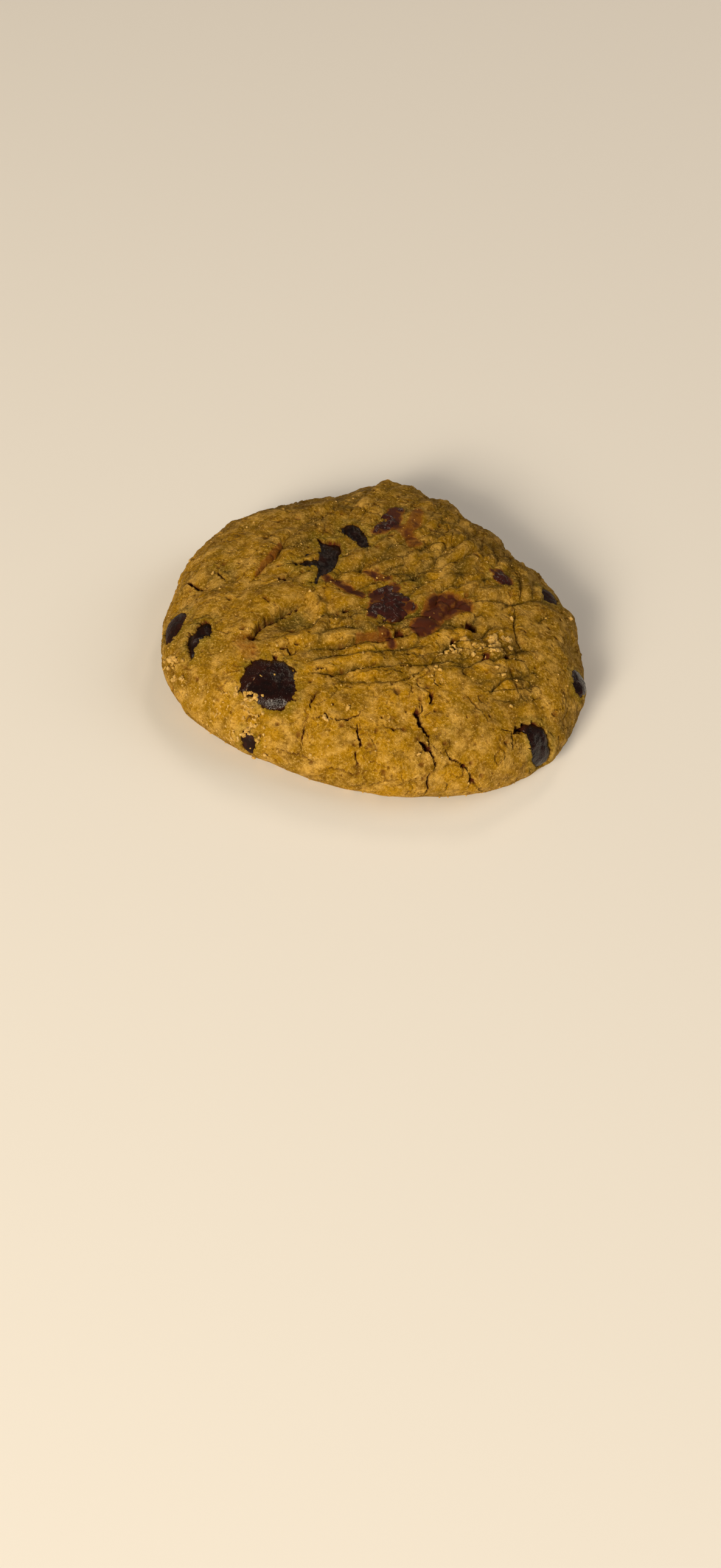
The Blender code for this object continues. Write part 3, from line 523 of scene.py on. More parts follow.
def outline_radius(angle):
    """The cookie's radius at an angle from +X."""
    step = np.mod(angle, math.tau) / math.tau * len(RADII)
    return np.interp(step, np.arange(len(RADII) + 1), np.append(RADII, RADII[0]))


def outline_middle():
    """The middle of the outline's box, which is the origin."""
    angle = np.linspace(0, math.tau, 361)
    rim = np.stack([np.cos(angle), np.sin(angle)]) * outline_radius(angle)
    return (rim.min(axis=1) + rim.max(axis=1)) / 2


ARC, ARC_SHARE, ARC_HEIGHT = section_curve()
ARC_TOTAL = ARC[-1]
RADII = smooth_curve(np.array(OUTLINE_RADII)[:, None], SECTION_STEPS, closed=True)[:, 0]
MIDDLE = outline_middle()


def crust_point(right, back):
    """The smooth body's surface at a place on the crust."""
    arc = np.hypot(right, back)
    angle = np.arctan2(back, right)
    reach = outline_radius(angle) * np.interp(arc, ARC, ARC_SHARE)
    height = np.interp(arc, ARC, ARC_HEIGHT)
    x, y = reach * np.cos(angle) - MIDDLE[0], reach * np.sin(angle) - MIDDLE[1]
    return np.stack([x, y, height], axis=-1)


def unit(directions):
    return directions / np.maximum(np.linalg.norm(directions, axis=-1, keepdims=True), 1e-9)


def crust_normal(right, back, step=0.4):
    """The smooth body's outward direction at a place on the crust."""
    along_right = crust_point(right + step, back) - crust_point(right - step, back)
    along_back = crust_point(right, back + step) - crust_point(right, back - step)
    return unit(np.cross(along_right, along_back))


def chance(column, row, seed):
    """A number from 0 to 1 for each cell of a grid, the same each time."""
    value = np.sin(column * 127.1 + row * 311.7 + seed * 74.7) * 43758.5453
    return value - np.floor(value)


def corner_push(column, row, across, along, seed):
    """One lattice corner's share of the noise: a random slope, read at a distance from the corner."""
    turn = chance(column, row, seed) * math.tau
    return np.cos(turn) * across + np.sin(turn) * along


def ripple(x, y, seed):
    """Smooth random noise with about one bump in each unit, from -0.7 to 0.7."""
    column, row = np.floor(x), np.floor(y)
    across, along = x - column, y - row
    ease_x = across**3 * (across * (across * 6 - 15) + 10)
    ease_y = along**3 * (along * (along * 6 - 15) + 10)
    near = corner_push(column, row, across, along, seed)
    near += ease_x * (corner_push(column + 1, row, across - 1, along, seed) - near)
    far = corner_push(column, row + 1, across, along - 1, seed)
    far += ease_x * (corner_push(column + 1, row + 1, across - 1, along - 1, seed) - far)
    return near + ease_y * (far - near)


def wavy(right, back, waves, seed):
    """Smooth noise of several sizes, each with its height."""
    return sum(height * ripple(right / size, back / size, seed + size) for size, height in waves)


def ease(share):
    """From 0 to 1 with soft ends."""
    share = np.clip(share, 0, 1)
    return share * share * (3 - 2 * share)


def grain_angle(right, back):
    """The way the folds run: nearly across at the front, steeper at the back, the left and the right."""
    degrees = GRAIN_MIDDLE + GRAIN_BACK * back + GRAIN_LEFT * np.minimum(right, 0) ** 2
    return np.radians(np.clip(degrees + GRAIN_RIGHT * np.maximum(right, 0), *GRAIN_RANGE))


def drawn_noise(right, back, spacing, length, seed):
    """Smooth noise drawn out along the grain."""
    total = ripple(right / spacing, back / spacing, seed)
    stride = length / 2 / GRAIN_STEPS
    for way in (1, -1):
        x, y = right, back
        for _ in range(GRAIN_STEPS):
            angle = grain_angle(x, y)
            x = x + way * stride * np.cos(angle)
            y = y + way * stride * np.sin(angle)
            total = total + ripple(x / spacing, y / spacing, seed)
    return total / (2 * GRAIN_STEPS + 1)


def folds(right, back, spacing, length, crease, seed):
    """Plump folds, from 0 in the creases between them to about 1."""
    steep = np.hypot(drawn_noise(right, back, spacing, length, seed), crease)
    return np.minimum(np.sqrt(steep * FOLD_PLUMPNESS), FOLD_TOP)


def torn_layers(right, back, spacing, length, layers, seed):
    """Thin layers lying over one another: each slopes down from its torn edge, from 1 to 0."""
    level = drawn_noise(right, back, spacing, length, seed) * layers
    part = level - np.floor(level)
    return ease(part / LAYER_EDGE) - part


def fold_share(right, back):
    """How strongly the crust is folded at each place."""
    share = np.full(right.shape, UNFOLDED_SHARE)
    for middle_right, middle_back, reach, most in FOLDED_PLACES:
        away = np.hypot(right - middle_right, back - middle_back)
        share = np.maximum(share, most * np.clip((reach - away) / FOLDED_EDGE + 0.5, 0, 1))
    return share


def line_distance(right, back, curve, reach):
    """Where places are within reach of a curve, and there: distance, side (1 on its left), share along."""
    low, high = curve.min(axis=0) - reach, curve.max(axis=0) + reach
    near = np.flatnonzero((right > low[0]) & (right < high[0]) & (back > low[1]) & (back < high[1]))
    x, y = right[near], back[near]
    best, side, share = np.full(x.shape, FAR), np.ones(x.shape), np.zeros(x.shape)
    for index, (start, end) in enumerate(zip(curve, curve[1:])):
        run = end - start
        from_x, from_y = x - start[0], y - start[1]
        along = np.clip((from_x * run[0] + from_y * run[1]) / (run @ run), 0, 1)
        away = np.hypot(from_x - along * run[0], from_y - along * run[1])
        nearer = away < best
        best = np.where(nearer, away, best)
        side = np.where(nearer, np.where(run[0] * from_y > run[1] * from_x, 1, -1), side)
        share = np.where(nearer, (index + along) / (len(curve) - 1), share)
    return near, best, side, share


def ends_fade(share):
    """1 along a line's middle and near 0 at its two ends."""
    return np.sin(np.clip(share, 0.02, 0.98) * math.pi) ** 0.5


def outline_distance(right, back, outline, reach):
    """Where places are within reach of a closed outline, and there: distance out, negative inside."""
    curve = closed_curve(outline, steps=6)
    near, away, _, _ = line_distance(right, back, curve, reach)
    x, y = right[near], back[near]
    inside = np.zeros(x.shape, bool)
    for (x0, y0), (x1, y1) in zip(curve, curve[1:]):
        crosses = (y0 > y) != (y1 > y)
        inside ^= crosses & (x < x0 + (y - y0) * (x1 - x0) / (y1 - y0 + 1e-12))
    return near, np.where(inside, -away, away)


def cells_around(right, back, size):
    """The cells of a grid of this size at each place and all round it, as columns and rows."""
    column, row = np.floor(right / size), np.floor(back / size)
    for step_right in (-1, 0, 1):
        for step_back in (-1, 0, 1):
            yield column + step_right, row + step_back


def cell_distance(right, back, cell, size, seed):
    """How far places are from the spot that each cell has somewhere in it."""
    spot_right = (cell[0] + chance(*cell, seed)) * size
    spot_back = (cell[1] + chance(*cell, seed + 1)) * size
    return np.hypot(right - spot_right, back - spot_back)


def crumb_push(right, back, size, push):
    """One push for all places that belong to the same crumb of about this size."""
    best = np.full(right.shape, FAR)
    pushes = [np.zeros(right.shape), np.zeros(right.shape)]
    for cell in cells_around(right, back, size):
        away = cell_distance(right, back, cell, size, seed=1)
        nearer = away < best
        best = np.where(nearer, away, best)
        pushes = [np.where(nearer, (chance(*cell, seed) - 0.5) * 2 * push, old)
                  for seed, old in zip((3, 4), pushes)]
    return pushes


def pushed(right, back, waves, crumbs):
    """The places pushed about a little, so that a line or outline read from them is torn, not drawn."""
    return [given + wavy(right, back, waves, seed) + push
            for given, seed, push in zip((right, back), PUSH_SEEDS, crumb_push(right, back, *crumbs))]


def crumbed(right, back, size, seed):
    """Small crumbs side by side, each as high as its own chance, from 0 to 1."""
    highest = np.zeros(right.shape)
    for cell in cells_around(right, back, size):
        away = np.hypot(right / size - cell[0] - chance(*cell, seed),
                        back / size - cell[1] - chance(*cell, seed + 1))
        height = LOWEST_CRUMB + CRUMB_SPAN * chance(*cell, seed + 2)
        highest = np.maximum(highest, height * ease(1.25 - away * 1.1))
    return highest


def bell(right, back, middle_right, middle_back, reach):
    """1 in a spot's middle, and less and less away from it."""
    return np.exp(-((right - middle_right) ** 2 + (back - middle_back) ** 2) / reach**2)


def solid_relief(right, back):
    """The broad relief, without the folds: the solid's, and the slighter swellings and dents."""
    rise = np.zeros(right.shape)
    for size, height, seed in LUMPS:
        rise += height * ripple(right / size, back / size, seed)
    for *spot, height in SWELLINGS + SLIGHT_SWELLINGS:
        rise += height * bell(right, back, *spot)
    return rise


def side_fade(right, back):
    """From 1 on the crown and the side to 0 where the side meets the base."""
    return np.clip((ARC_TOTAL - np.hypot(right, back)) / SIDE_FADE, 0, 1)


def folded_relief(right, back, strength):
    """The folds of the crown, and how high in its fold each place is, from 0 to 1."""
    crests = [folds(right, back, spacing, length, *rest) for spacing, length, _, *rest in FOLDS]
    rise = sum(fold[2] * strength * (crest - FOLD_MIDDLE) for fold, crest in zip(FOLDS, crests))
    return rise, np.clip(sum(share * crest for share, crest in zip(FOLD_SHARES, crests)), 0, 1)


def layered_relief(right, back, strength):
    """The torn layers, as strong as the crust is folded."""
    rise = np.zeros(right.shape)
    for spacing, length, layers, height, seed in LAYERS:
        rise += height * strength * torn_layers(right, back, spacing, length, layers, seed)
    return rise


def flaked_relief(right, back):
    """The steps at the torn flakes, and the groove under each edge."""
    rise, grooves = np.zeros(right.shape), np.zeros(right.shape)
    for points, height, reach in FLAKES:
        near, away, side, share = line_distance(right, back, smooth_curve(points, steps=5), reach * 2)
        raised = side * np.sign(height)
        step = np.where(raised > 0, *FLAKE_STEP) * np.clip(away / FLAKE_EDGE, 0, 1)
        groove = ends_fade(share) * np.where(raised < 0, ease(1.6 - away / FLAKE_FOOT[0]), 0)
        rise[near] += ends_fade(share) * abs(height) * step * np.exp(-((away / reach) ** 2))
        grooves[near] = np.maximum(grooves[near], groove)
    return rise, grooves


def ridged_relief(right, back):
    """The ridges and grooves that stand out among the folds."""
    rise = np.zeros(right.shape)
    for points, height, half_width in RIDGES:
        near, away, _, share = line_distance(right, back, smooth_curve(points, steps=5), half_width * 3)
        rise[near] += height * ends_fade(share) * np.exp(-((away / half_width) ** 2))
    return rise


def crack_depth(right, back):
    """The depth of the cracks and holes, which pinch and widen along the way."""
    size, change, middle, limits, seed = CRACK_PINCHES
    width = np.clip(middle + change * ripple(right / size, back / size, seed), *limits)
    deepest = np.zeros(right.shape)
    for points, deep, half_width in CRACKS:
        near, away, _, share = line_distance(right, back, smooth_curve(points, steps=4), reach=2)
        wall = (half_width * width[near] * ends_fade(share) - away) / CRACK_WALL
        deepest[near] = np.maximum(deepest[near], deep * ends_fade(share) * ease(wall + 0.5))
    for (hole_right, hole_back), radius, deep in HOLES:
        away = np.hypot(right - hole_right, back - hole_back)
        deepest = np.maximum(deepest, deep * ease((radius - away) / CRACK_WALL / 2 + 0.5))
    return deepest


def pitted(right, back, size, radii, deep, share, seed):
    """Small pits where crumbs have come away, at most one in each cell of this size."""
    deepest = np.zeros(right.shape)
    for cell in cells_around(right, back, size):
        away = cell_distance(right, back, cell, size, seed)
        radius = radii[0] + (radii[1] - radii[0]) * chance(*cell, seed + 2)
        there = chance(*cell, seed + 3) < share
        deepest = np.maximum(deepest, np.where(there, deep * ease(1.3 - away / radius), 0))
    return deepest


def hair_cracks(right, back):
    """Fine cracks of the dried skin, in patches."""
    size, width, deep, patch = HAIR_CRACKS
    line, where = (ripple(right / unit, back / unit, seed) for unit, seed in zip((size, patch), HAIR_SEEDS))
    return deep * ease(1.5 - np.abs(line) / width) * ease((where - 0.05) / 0.15)


def smeared(right, back):
    """How thickly each place is smeared with chocolate, from 0 to 1."""
    amount = np.zeros(right.shape)
    for points, half_width, most in SMEARS:
        near, away, _, _ = line_distance(right, back, smooth_curve(points, steps=4), reach=4)
        amount[near] = np.maximum(amount[near], most * ease(1.6 - away / half_width))
    return amount


def spread(right, back, spots):
    """How strongly each place has what these spots have most of, from 0 to 1."""
    return np.clip(sum(most * bell(right, back, *spot) for *spot, most in spots), 0, 1)


def crumbly_relief(right, back, torn, strength):
    """The crust's roughness: uneven waves, and crumbs where it is crumbly or folded."""
    patch, least = CRUMBLY_PATCHES
    crumbly = least + (1 - least) * ease(ripple(right / patch, back / patch, CRUMBLY_SEED) * 2 + 0.4)
    crumbly = np.maximum(crumbly, strength)
    rise = wavy(right, back, CRUMBLE, CRUMBLE_SEED)
    for size, height, seed in CRUMBS:
        rise += height * crumbly * (crumbed(*torn, size, seed) - 0.5)
    return rise


def chips_round(right, back, olive_shade, smear):
    """How calm chips leave the folds, the dough's lip and its pockets; marks olive painted shade and smear.
    """
    calm, lip, pocket = np.ones(right.shape), np.zeros(right.shape), np.zeros(right.shape)
    for node, (_, _, outline) in CHIPS.items():
        *_, deep, calmed, _ = OVEN_LOOKS[CHIP_LOOKS.get(node, "glossy")]
        near, away = outline_distance(right, back, outline, reach=5)
        calm[near] = np.minimum(calm[near], 1 - calmed * ease(1 - away / CALM_REACH))
        lip[near] += LIP_HEIGHT * np.exp(-((away / LIP_REACH) ** 2))
        pocket[near] = np.maximum(pocket[near], deep * ease((POCKET_MARGIN - away) / POCKET_WALL))
        olive_shade[near] = np.maximum(olive_shade[near], ease(1 - away / OLIVE_SHADE_REACH))
        if deep == 0:
            smear[near] = np.maximum(smear[near], ease(1 - away / SMEAR_REACH))
    return calm, lip, pocket


def crust_fields(right, back):
    """For each place: its relief, the finer relief, and the marks that its colour follows, from 0 to 1."""
    torn = pushed(right, back, RAGGED, RAGGED_CRUMBS)
    jagged = pushed(right, back, JAGGED, JAGGED_CRUMBS)
    strength = fold_share(right, back)
    folded, crest = folded_relief(*torn, strength)
    flaked, feet = (sum(parts) / 2 for parts in zip(flaked_relief(*torn), flaked_relief(*jagged)))
    ridged = (ridged_relief(*torn) + ridged_relief(*jagged)) / 2
    folded += flaked + ridged - FLAKE_FOOT[1] * feet
    # Painted shade: darker low in each fold, at the flakes' feet and in the grooves.
    crease_shade = np.minimum(CREASE_SHADE * strength, 1)
    crease_shade *= np.clip((FOLD_MIDDLE - crest) / CREASE_SPAN, 0, 1)
    crease_shade += FOOT_SHADE * feet + np.clip(-GROOVE_SHADE * ridged, 0, FOOT_SHADE)
    edge = np.array(torn)
    for crumbs in POCKET_CRUMBS:
        edge += crumb_push(right, back, *crumbs)
    olive_shade, smear = spread(right, back, OLIVE_SHADE_PLACES), smeared(*torn)
    calm, lip, pocket = chips_round(*edge, olive_shade, smear)
    fade = side_fade(right, back)
    rise = (solid_relief(right, back) + (lip + folded * calm) - pocket) * fade
    fine = crumbly_relief(right, back, torn, strength) + layered_relief(*torn, strength) * calm
    crack = crack_depth(*jagged) * fade
    pits = np.maximum.reduce([hair_cracks(*jagged), *(pitted(*torn, *kind) for kind in PITS)]) * calm
    fine = (fine - pits) * (1 - SMEARED_CALM * smear)
    # Most colour marks are painted shade: in the creases, the olive places, the cracks, holes and chip
    # pockets, and the pits; the toasted places are partly painted shade.
    marks = {"crease_shade": np.clip(crease_shade * calm, 0, 1), "olive_shade": olive_shade, "smear": smear,
             "hollow_shade": np.clip(crack + pocket, 0, 1), "pitted": pits * PIT_SHADE,
             "toasted_and_shaded": spread(right, back, TOASTED_AND_SHADED_PLACES)}
    return rise, fine * fade - crack, marks


def disc_places(rings_and_reaches):
    """Places on a disc, in a square lattice wound onto it, so that no ring has a pole."""
    steps, start = [np.zeros(1)], 0
    for rings, reach in rings_and_reaches:
        steps.append(np.linspace(start, reach, rings + 1)[1:])
        start = reach
    steps = np.concatenate(steps)
    rings = len(steps) - 1
    line = np.linspace(-1, 1, 2 * rings + 1)
    x, y = np.meshgrid(line, line, indexing="ij")
    ring = np.maximum(np.abs(x), np.abs(y))
    wide = np.abs(x) >= np.abs(y)
    across, along = np.where(wide, x, y), np.where(wide, y, x)
    slant = np.divide(along, across, out=np.zeros_like(across), where=ring > 0) * math.pi / 4
    turned = np.where(wide, slant, math.pi / 2 - slant) + np.where(across < 0, math.pi, 0)
    arc = np.interp(ring * rings, np.arange(rings + 1), steps)
    return arc * np.cos(turned), arc * np.sin(turned)


def lattice_faces(count):
    """The faces of a square lattice of points."""
    corner = np.arange(count * count).reshape(count, count)
    corners = [corner[:-1, :-1], corner[1:, :-1], corner[1:, 1:], corner[:-1, 1:]]
    return np.stack(corners, axis=-1).reshape(-1, 4)


def placed(name, data):
    """A new object in the scene."""
    made = bpy.data.objects.new(name, data)
    bpy.context.scene.collection.objects.link(made)
    return made


def mended(made, mend):
    """Has an object's mesh mended."""
    work = bmesh.new()
    work.from_mesh(made.data)
    mend(work)
    work.to_mesh(made.data)
    work.free()


def make_mesh(name, points, faces, marks=None):
    """A smooth-shaded object from points in millimetres, with a number for each point under each mark."""
    mesh = bpy.data.meshes.new(name)
    mesh.from_pydata((np.asarray(points) * MM).tolist(), [], [list(face) for face in faces])
    mesh.update()
    for mark, values in (marks or {}).items():
        numbers = mesh.attributes.new(mark, "FLOAT", "POINT").data
        numbers.foreach_set("value", np.ascontiguousarray(values, np.float32))
    mesh.shade_smooth()
    return placed(name, mesh)


def feed(tree, sockets, values):
    """Gives each of these sockets what feeds it, or its value."""
    for name, value in values.items():
        if isinstance(value, bpy.types.NodeSocket):
            tree.links.new(value, sockets[name])
        else:
            sockets[name].default_value = value


def add_node(tree, kind, settings=None, links=None):
    """Adds a node with its settings and what each of its sockets takes, and returns its outputs."""
    made = tree.nodes.new(kind)
    for name, value in (settings or {}).items():
        setattr(made, name, value)
    feed(tree, made.inputs, links or {})
    return made.outputs


def linear(colour):
    """An sRGB hex colour as linear red, green, blue and alpha."""
    shares = [int(colour[at:at + 2], 16) / 255 for at in (1, 3, 5)]
    shares = [share / 12.92 if share <= 0.04045 else ((share + 0.055) / 1.055) ** 2.4 for share in shares]
    return (*shares, 1)


def per_size(millimetres):
    """The noise scale whose features are about this size, on coordinates in metres."""
    return 1 / (millimetres * MM)


def new_material(name):
    """An empty material, its node tree and its Principled shader."""
    made = bpy.data.materials.new(name)
    made.use_nodes = True
    shader = next(node for node in made.node_tree.nodes if node.type == "BSDF_PRINCIPLED")
    return made, made.node_tree, shader


def coated(tree, colour, coats):
    """A colour under coats of others: each coat's colour, what it follows, its least, full and most."""
    for over, follows, low, high, most in coats:
        share = add_node(tree, "ShaderNodeMapRange", {"clamp": True}, {
            "Value": follows, "From Min": low, "From Max": high, "To Max": most})["Result"]
        colour = add_node(tree, "ShaderNodeMix", {"data_type": "RGBA"}, {
            0: share, 6: colour, 7: linear(over)})[2]
    return colour


def baked_dough():
    """Peanut butter dough, crumbly and oven-baked: a dry, sandy crust with no shine but its sugar's."""
    made, tree, shader = new_material("baked_peanut_butter_dough")
    place = add_node(tree, "ShaderNodeTexCoord")["Object"]
    marks = {name: add_node(tree, "ShaderNodeAttribute", {"attribute_name": name})["Fac"]
             for name in CRUST_MARKS}
    broad, pale, brown, green, thin = (
        add_node(tree, "ShaderNodeTexNoise", {"noise_dimensions": "4D"}, {
            "Vector": place, "W": seed, "Scale": per_size(size), "Detail": 3})["Fac"]
        for size, seed in DOUGH_PATCHES)
    greyed_shade, smear = (
        add_node(tree, "ShaderNodeMath", {"operation": "MULTIPLY"}, {0: marks[name], 1: patches})[0]
        for name, patches in (("olive_shade", green), ("smear", thin)))
    sand = sandy(tree, place)
    colour = coated(tree, linear("#b28200"), (
        # Partly browning, partly painted shade on the sides turned from the light.
        ("#6c5000", marks["toasted_and_shaded"], 0, 1, 1),
        ("#7e5e00", broad, 0.45, 0.62, 0.6),
        ("#d6a84e", pale, 0.46, 0.66, 0.75),
        ("#785200", brown, 0.48, 0.66, 0.75),
        # Painted shade in the creases, at the flakes' feet and in the grooves.
        ("#3c3000", marks["crease_shade"], 0, 1, 0.85),
        # Painted olive shade in hollows and round the chips.
        ("#5e6018", greyed_shade, 0.2, 0.7, 0.55),
        # Darker low between the sand grains: partly painted shade.
        ("#5c3c00", sand, 0.42, 0.12, 0.6),
        ("#e0b662", sand, 0.5, 0.9, 0.6),
        # Painted shade in the pits and fine cracks.
        ("#6a3c08", marks["pitted"], 0, 1, 0.8),
        # Painted shade in the cracks, holes and chip pockets.
        ("#54240a", marks["hollow_shade"], 0, 0.8, 1),
        ("#7c4408", smear, 0.04, 0.2, 0.7),
        ("#401a08", smear, 0.18, 0.45, 1)))
    grainy, dry = (
        add_node(tree, "ShaderNodeMapRange", links={
            "Value": smear, "From Min": 0.12, "From Max": thick, "To Min": bare, "To Max": full})["Result"]
        for thick, bare, full in ((0.4, 1, 0.3), (0.5, 0.8, 0.55)))
    height = add_node(tree, "ShaderNodeBump", links={
        "Height": sand, "Strength": grainy, "Distance": 0.24 * MM})["Normal"]
    feed(tree, shader.inputs, {
        "Base Color": colour, "Normal": height, "Specular IOR Level": 0.2, "Roughness": dry})
    return made


def sandy(tree, place):
    """The height of the sandy grain, from 0 to 1: fine worn flour, with round sugar grains in places."""
    worn = add_node(tree, "ShaderNodeTexNoise", links={
        "Vector": place, "Scale": per_size(GRAIN_SIZE * 1.8), "Detail": 5, "Roughness": 0.75})["Fac"]
    uneven = add_node(tree, "ShaderNodeMapRange", links={
        "Value": worn, "From Min": 0.3, "From Max": 0.7, "To Max": 0.9})["Result"]
    grains = add_node(tree, "ShaderNodeTexVoronoi", links={"Vector": place, "Scale": per_size(GRAIN_SIZE)})
    likely = add_node(tree, "ShaderNodeSeparateColor", links={"Color": grains["Color"]})["Red"]
    chosen = add_node(tree, "ShaderNodeMapRange", links={
        "Value": likely, "From Min": 0.4, "From Max": 0.9, "To Max": 0.35})["Result"]
    rounded = add_node(tree, "ShaderNodeMapRange", {"interpolation_type": "SMOOTHSTEP"}, {
        "Value": grains["Distance"], "From Min": 0.6, "From Max": 0.1})["Result"]
    return add_node(tree, "ShaderNodeMath", {"operation": "MULTIPLY_ADD"}, {
        0: rounded, 1: chosen, 2: uneven})[0]


def dark_chocolate(name, colour, deeper, roughness, shine, uneven):
    """Dark chocolate, cast as drops and softened in the oven: near black with a fatty, clouded shine."""
    made, tree, shader = new_material(name)
    place = add_node(tree, "ShaderNodeTexCoord")["Object"]
    edge, split = (
        add_node(tree, "ShaderNodeAttribute", {"attribute_name": mark})["Fac"] for mark in ("edge", "split"))
    cloud, dust = (
        add_node(tree, "ShaderNodeTexNoise", {"noise_dimensions": "4D"}, {
            "Vector": place, "W": seed, "Scale": per_size(size), "Detail": 3})["Fac"]
        for size, seed in CHOCOLATE_PATCHES)
    base = coated(tree, linear(deeper), (
        (colour, cloud, 0.4, 0.65, 1),
        ("#5c3a20", dust, 0.64, 0.74, 0.35),
        ("#32150c", edge, 0, 1, 0.7),
        ("#a8805c", split, 0.5, 1.1, 0.8)))
    lumps = add_node(tree, "ShaderNodeMath", {"operation": "MULTIPLY_ADD"}, {0: dust, 1: 0.7, 2: cloud})[0]
    height = add_node(tree, "ShaderNodeBump", links={
        "Height": lumps, "Strength": uneven, "Distance": 0.4 * MM})["Normal"]
    bloom = add_node(tree, "ShaderNodeMapRange", links={
        "Value": dust, "From Min": 0.45, "From Max": 0.65,
        "To Min": roughness, "To Max": roughness + BLOOM})["Result"]
    feed(tree, shader.inputs, {
        "Base Color": base, "Normal": height, "Specular IOR Level": shine, "Roughness": bloom})
    return made


def plain_finish(name, colour, roughness):
    """One even colour and roughness."""
    made, tree, shader = new_material(name)
    feed(tree, shader.inputs, {"Base Color": linear(colour), "Roughness": roughness})
    return made


def lattice_normals(points, outward):
    """The direction that the surface faces at each corner of a lattice of points."""
    normal = np.cross(np.gradient(points, axis=0), np.gradient(points, axis=1))
    return unit(normal * np.sign(np.sum(normal * outward, axis=-1, keepdims=True)))


def swollen(points, outward):
    """The folds swollen sideways as in rising dough, so that they bulge over the creases between them."""
    facing = lattice_normals(points, outward)
    for _ in range(SWELL_SOFTENED):
        around = facing[:-2, 1:-1] + facing[2:, 1:-1] + facing[1:-1, :-2] + facing[1:-1, 2:]
        facing[1:-1, 1:-1] = around / 4
    upright = np.sum(facing * outward, axis=-1, keepdims=True)
    return points + SWELL * (facing - upright * outward)


def base_height(points, inward):
    """How deep the flat base is pitted: not at its edge, and here and there further in."""
    size, deep, change, seed = BASE_PITS
    pits = deep + change * ripple(points[..., 0] / size, points[..., 1] / size, seed)
    return np.maximum(pits, 0) * ease(inward * BASE_EDGE)


def dough_body(finish):
    """The baked dough, crust and flat base in one closed body, with the marks that its colour follows."""
    right, back = disc_places((
        (CROWN_RINGS, CROWN_REACH), (SIDE_RINGS, ARC_TOTAL), (BASE_RINGS, ARC_TOTAL + BASE_ARC)))
    arc = np.hypot(right, back)
    crust = arc <= ARC_TOTAL + 0.001
    rise, fine, marks = crust_fields(right.ravel(), back.ravel())
    rise, fine = rise.reshape(right.shape), fine.reshape(right.shape)
    outward = crust_normal(right, back)
    smooth = crust_point(right, back)
    points = swollen(smooth + outward * rise[..., None], outward)
    points += outward * fine[..., None]
    points[..., 2] -= (1 - ABOVE_TOP) * np.maximum(points[..., 2] - FOLDS_TOP, 0)
    points[~crust] = smooth[~crust]
    inward = np.clip((arc - ARC_TOTAL) / BASE_ARC, 0, 1)
    points[..., :2] += (-MIDDLE - points[..., :2]) * inward[..., None]
    points[..., 2] = np.where(crust, points[..., 2], base_height(points, inward))
    marks = {name: np.where(crust.ravel(), values, 0) for name, values in marks.items()}
    count = len(right)
    thick = make_mesh("dough_lattice", points.reshape(-1, 3), lattice_faces(count), marks)
    mended(thick, close_pole)
    thin = thick.modifiers.new("fewer faces where smooth", "DECIMATE")
    thin.ratio = DOUGH_TRIANGLES / (2 * (count - 1) ** 2)
    return finished(thick, "dough", finish, "baked_dough", "cookie_dough")


def close_pole(work):
    """Joins the lattice's edge, which has shrunk to the base's middle, into one point."""
    edge = [vert for vert in work.verts if vert.is_boundary]
    bmesh.ops.pointmerge(work, verts=edge, merge_co=edge[0].co)


def finished(made, name, finish, slot, *nodes):
    """The object with its modifiers turned into a plain mesh, dressed, and standing for its solids."""
    seen = made.evaluated_get(bpy.context.evaluated_depsgraph_get())
    mesh = bpy.data.meshes.new_from_object(seen)
    bpy.data.objects.remove(made)
    mesh.name = name
    mesh.materials.clear()
    mesh.materials.append(finish)
    mesh.shade_smooth()
    piece = placed(name, mesh)
    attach(piece, "root")
    if nodes:
        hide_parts(*nodes)
    return piece


def even_outline(points):
    """A smooth closed outline with its points the same distance apart."""
    curve = closed_curve(points, steps=8)
    gone = np.concatenate([[0], np.cumsum(np.linalg.norm(np.diff(curve, axis=0), axis=1))])
    stops = np.linspace(0, gone[-1], CHIP_SEGMENTS, endpoint=False)
    return np.stack([np.interp(stops, gone, values) for values in curve.T], axis=-1)


def grown(outline, margin):
    """The outline moved out by a margin all round."""
    after = np.roll(outline, -1, axis=0)
    run = after - np.roll(outline, 1, axis=0)
    run /= np.linalg.norm(run, axis=1, keepdims=True)
    turned = np.stack([run[:, 1], -run[:, 0]], axis=-1)
    area = np.sum(outline[:, 0] * after[:, 1] - after[:, 0] * outline[:, 1])
    return outline + turned * margin * np.sign(area)


def on_crust(right, back, rise):
    """A point this far above the crust's broad relief."""
    rise = solid_relief(right, back) + rise
    return crust_point(right, back) + crust_normal(right, back) * rise[:, None]


def on_base(right, back, rise):
    """A point this far below the flat base."""
    return np.stack([right, back, -rise], axis=-1)


def split_chip(level):
    """How deep in the split each place of the split chip is, and how much duller, both from 0 to 1."""
    near, away, side, _ = line_distance(*level.T, smooth_curve(SPLIT, steps=5), reach=20)
    half_width = SPLIT_SIZE[1]
    gap, duller = np.zeros(len(level)), np.zeros(len(level))
    gap[near] = np.exp(-((away / half_width) ** 2)) * (0.6 + ripple(*level[near].T, SPLIT_SEED))
    duller[near] = SPLIT_DULLNESS * ease(0.5 - side * away / half_width)
    return np.maximum(gap, 0), duller


def ring_faces(levels):
    """The faces of a closed body made of a point, rings round it and another point, in this many levels."""
    near = np.arange(CHIP_SEGMENTS)
    pairs = list(zip(near, np.roll(near, -1)))
    last = 1 + CHIP_SEGMENTS * (levels - 2)
    faces = [(0, 1 + a, 1 + b) for a, b in pairs]
    for start in range(1, last - CHIP_SEGMENTS, CHIP_SEGMENTS):
        under = start + CHIP_SEGMENTS
        faces += [(start + a, under + a, under + b, start + b) for a, b in pairs]
    return faces + [(last, last - CHIP_SEGMENTS + b, last - CHIP_SEGMENTS + a) for a, b in pairs]


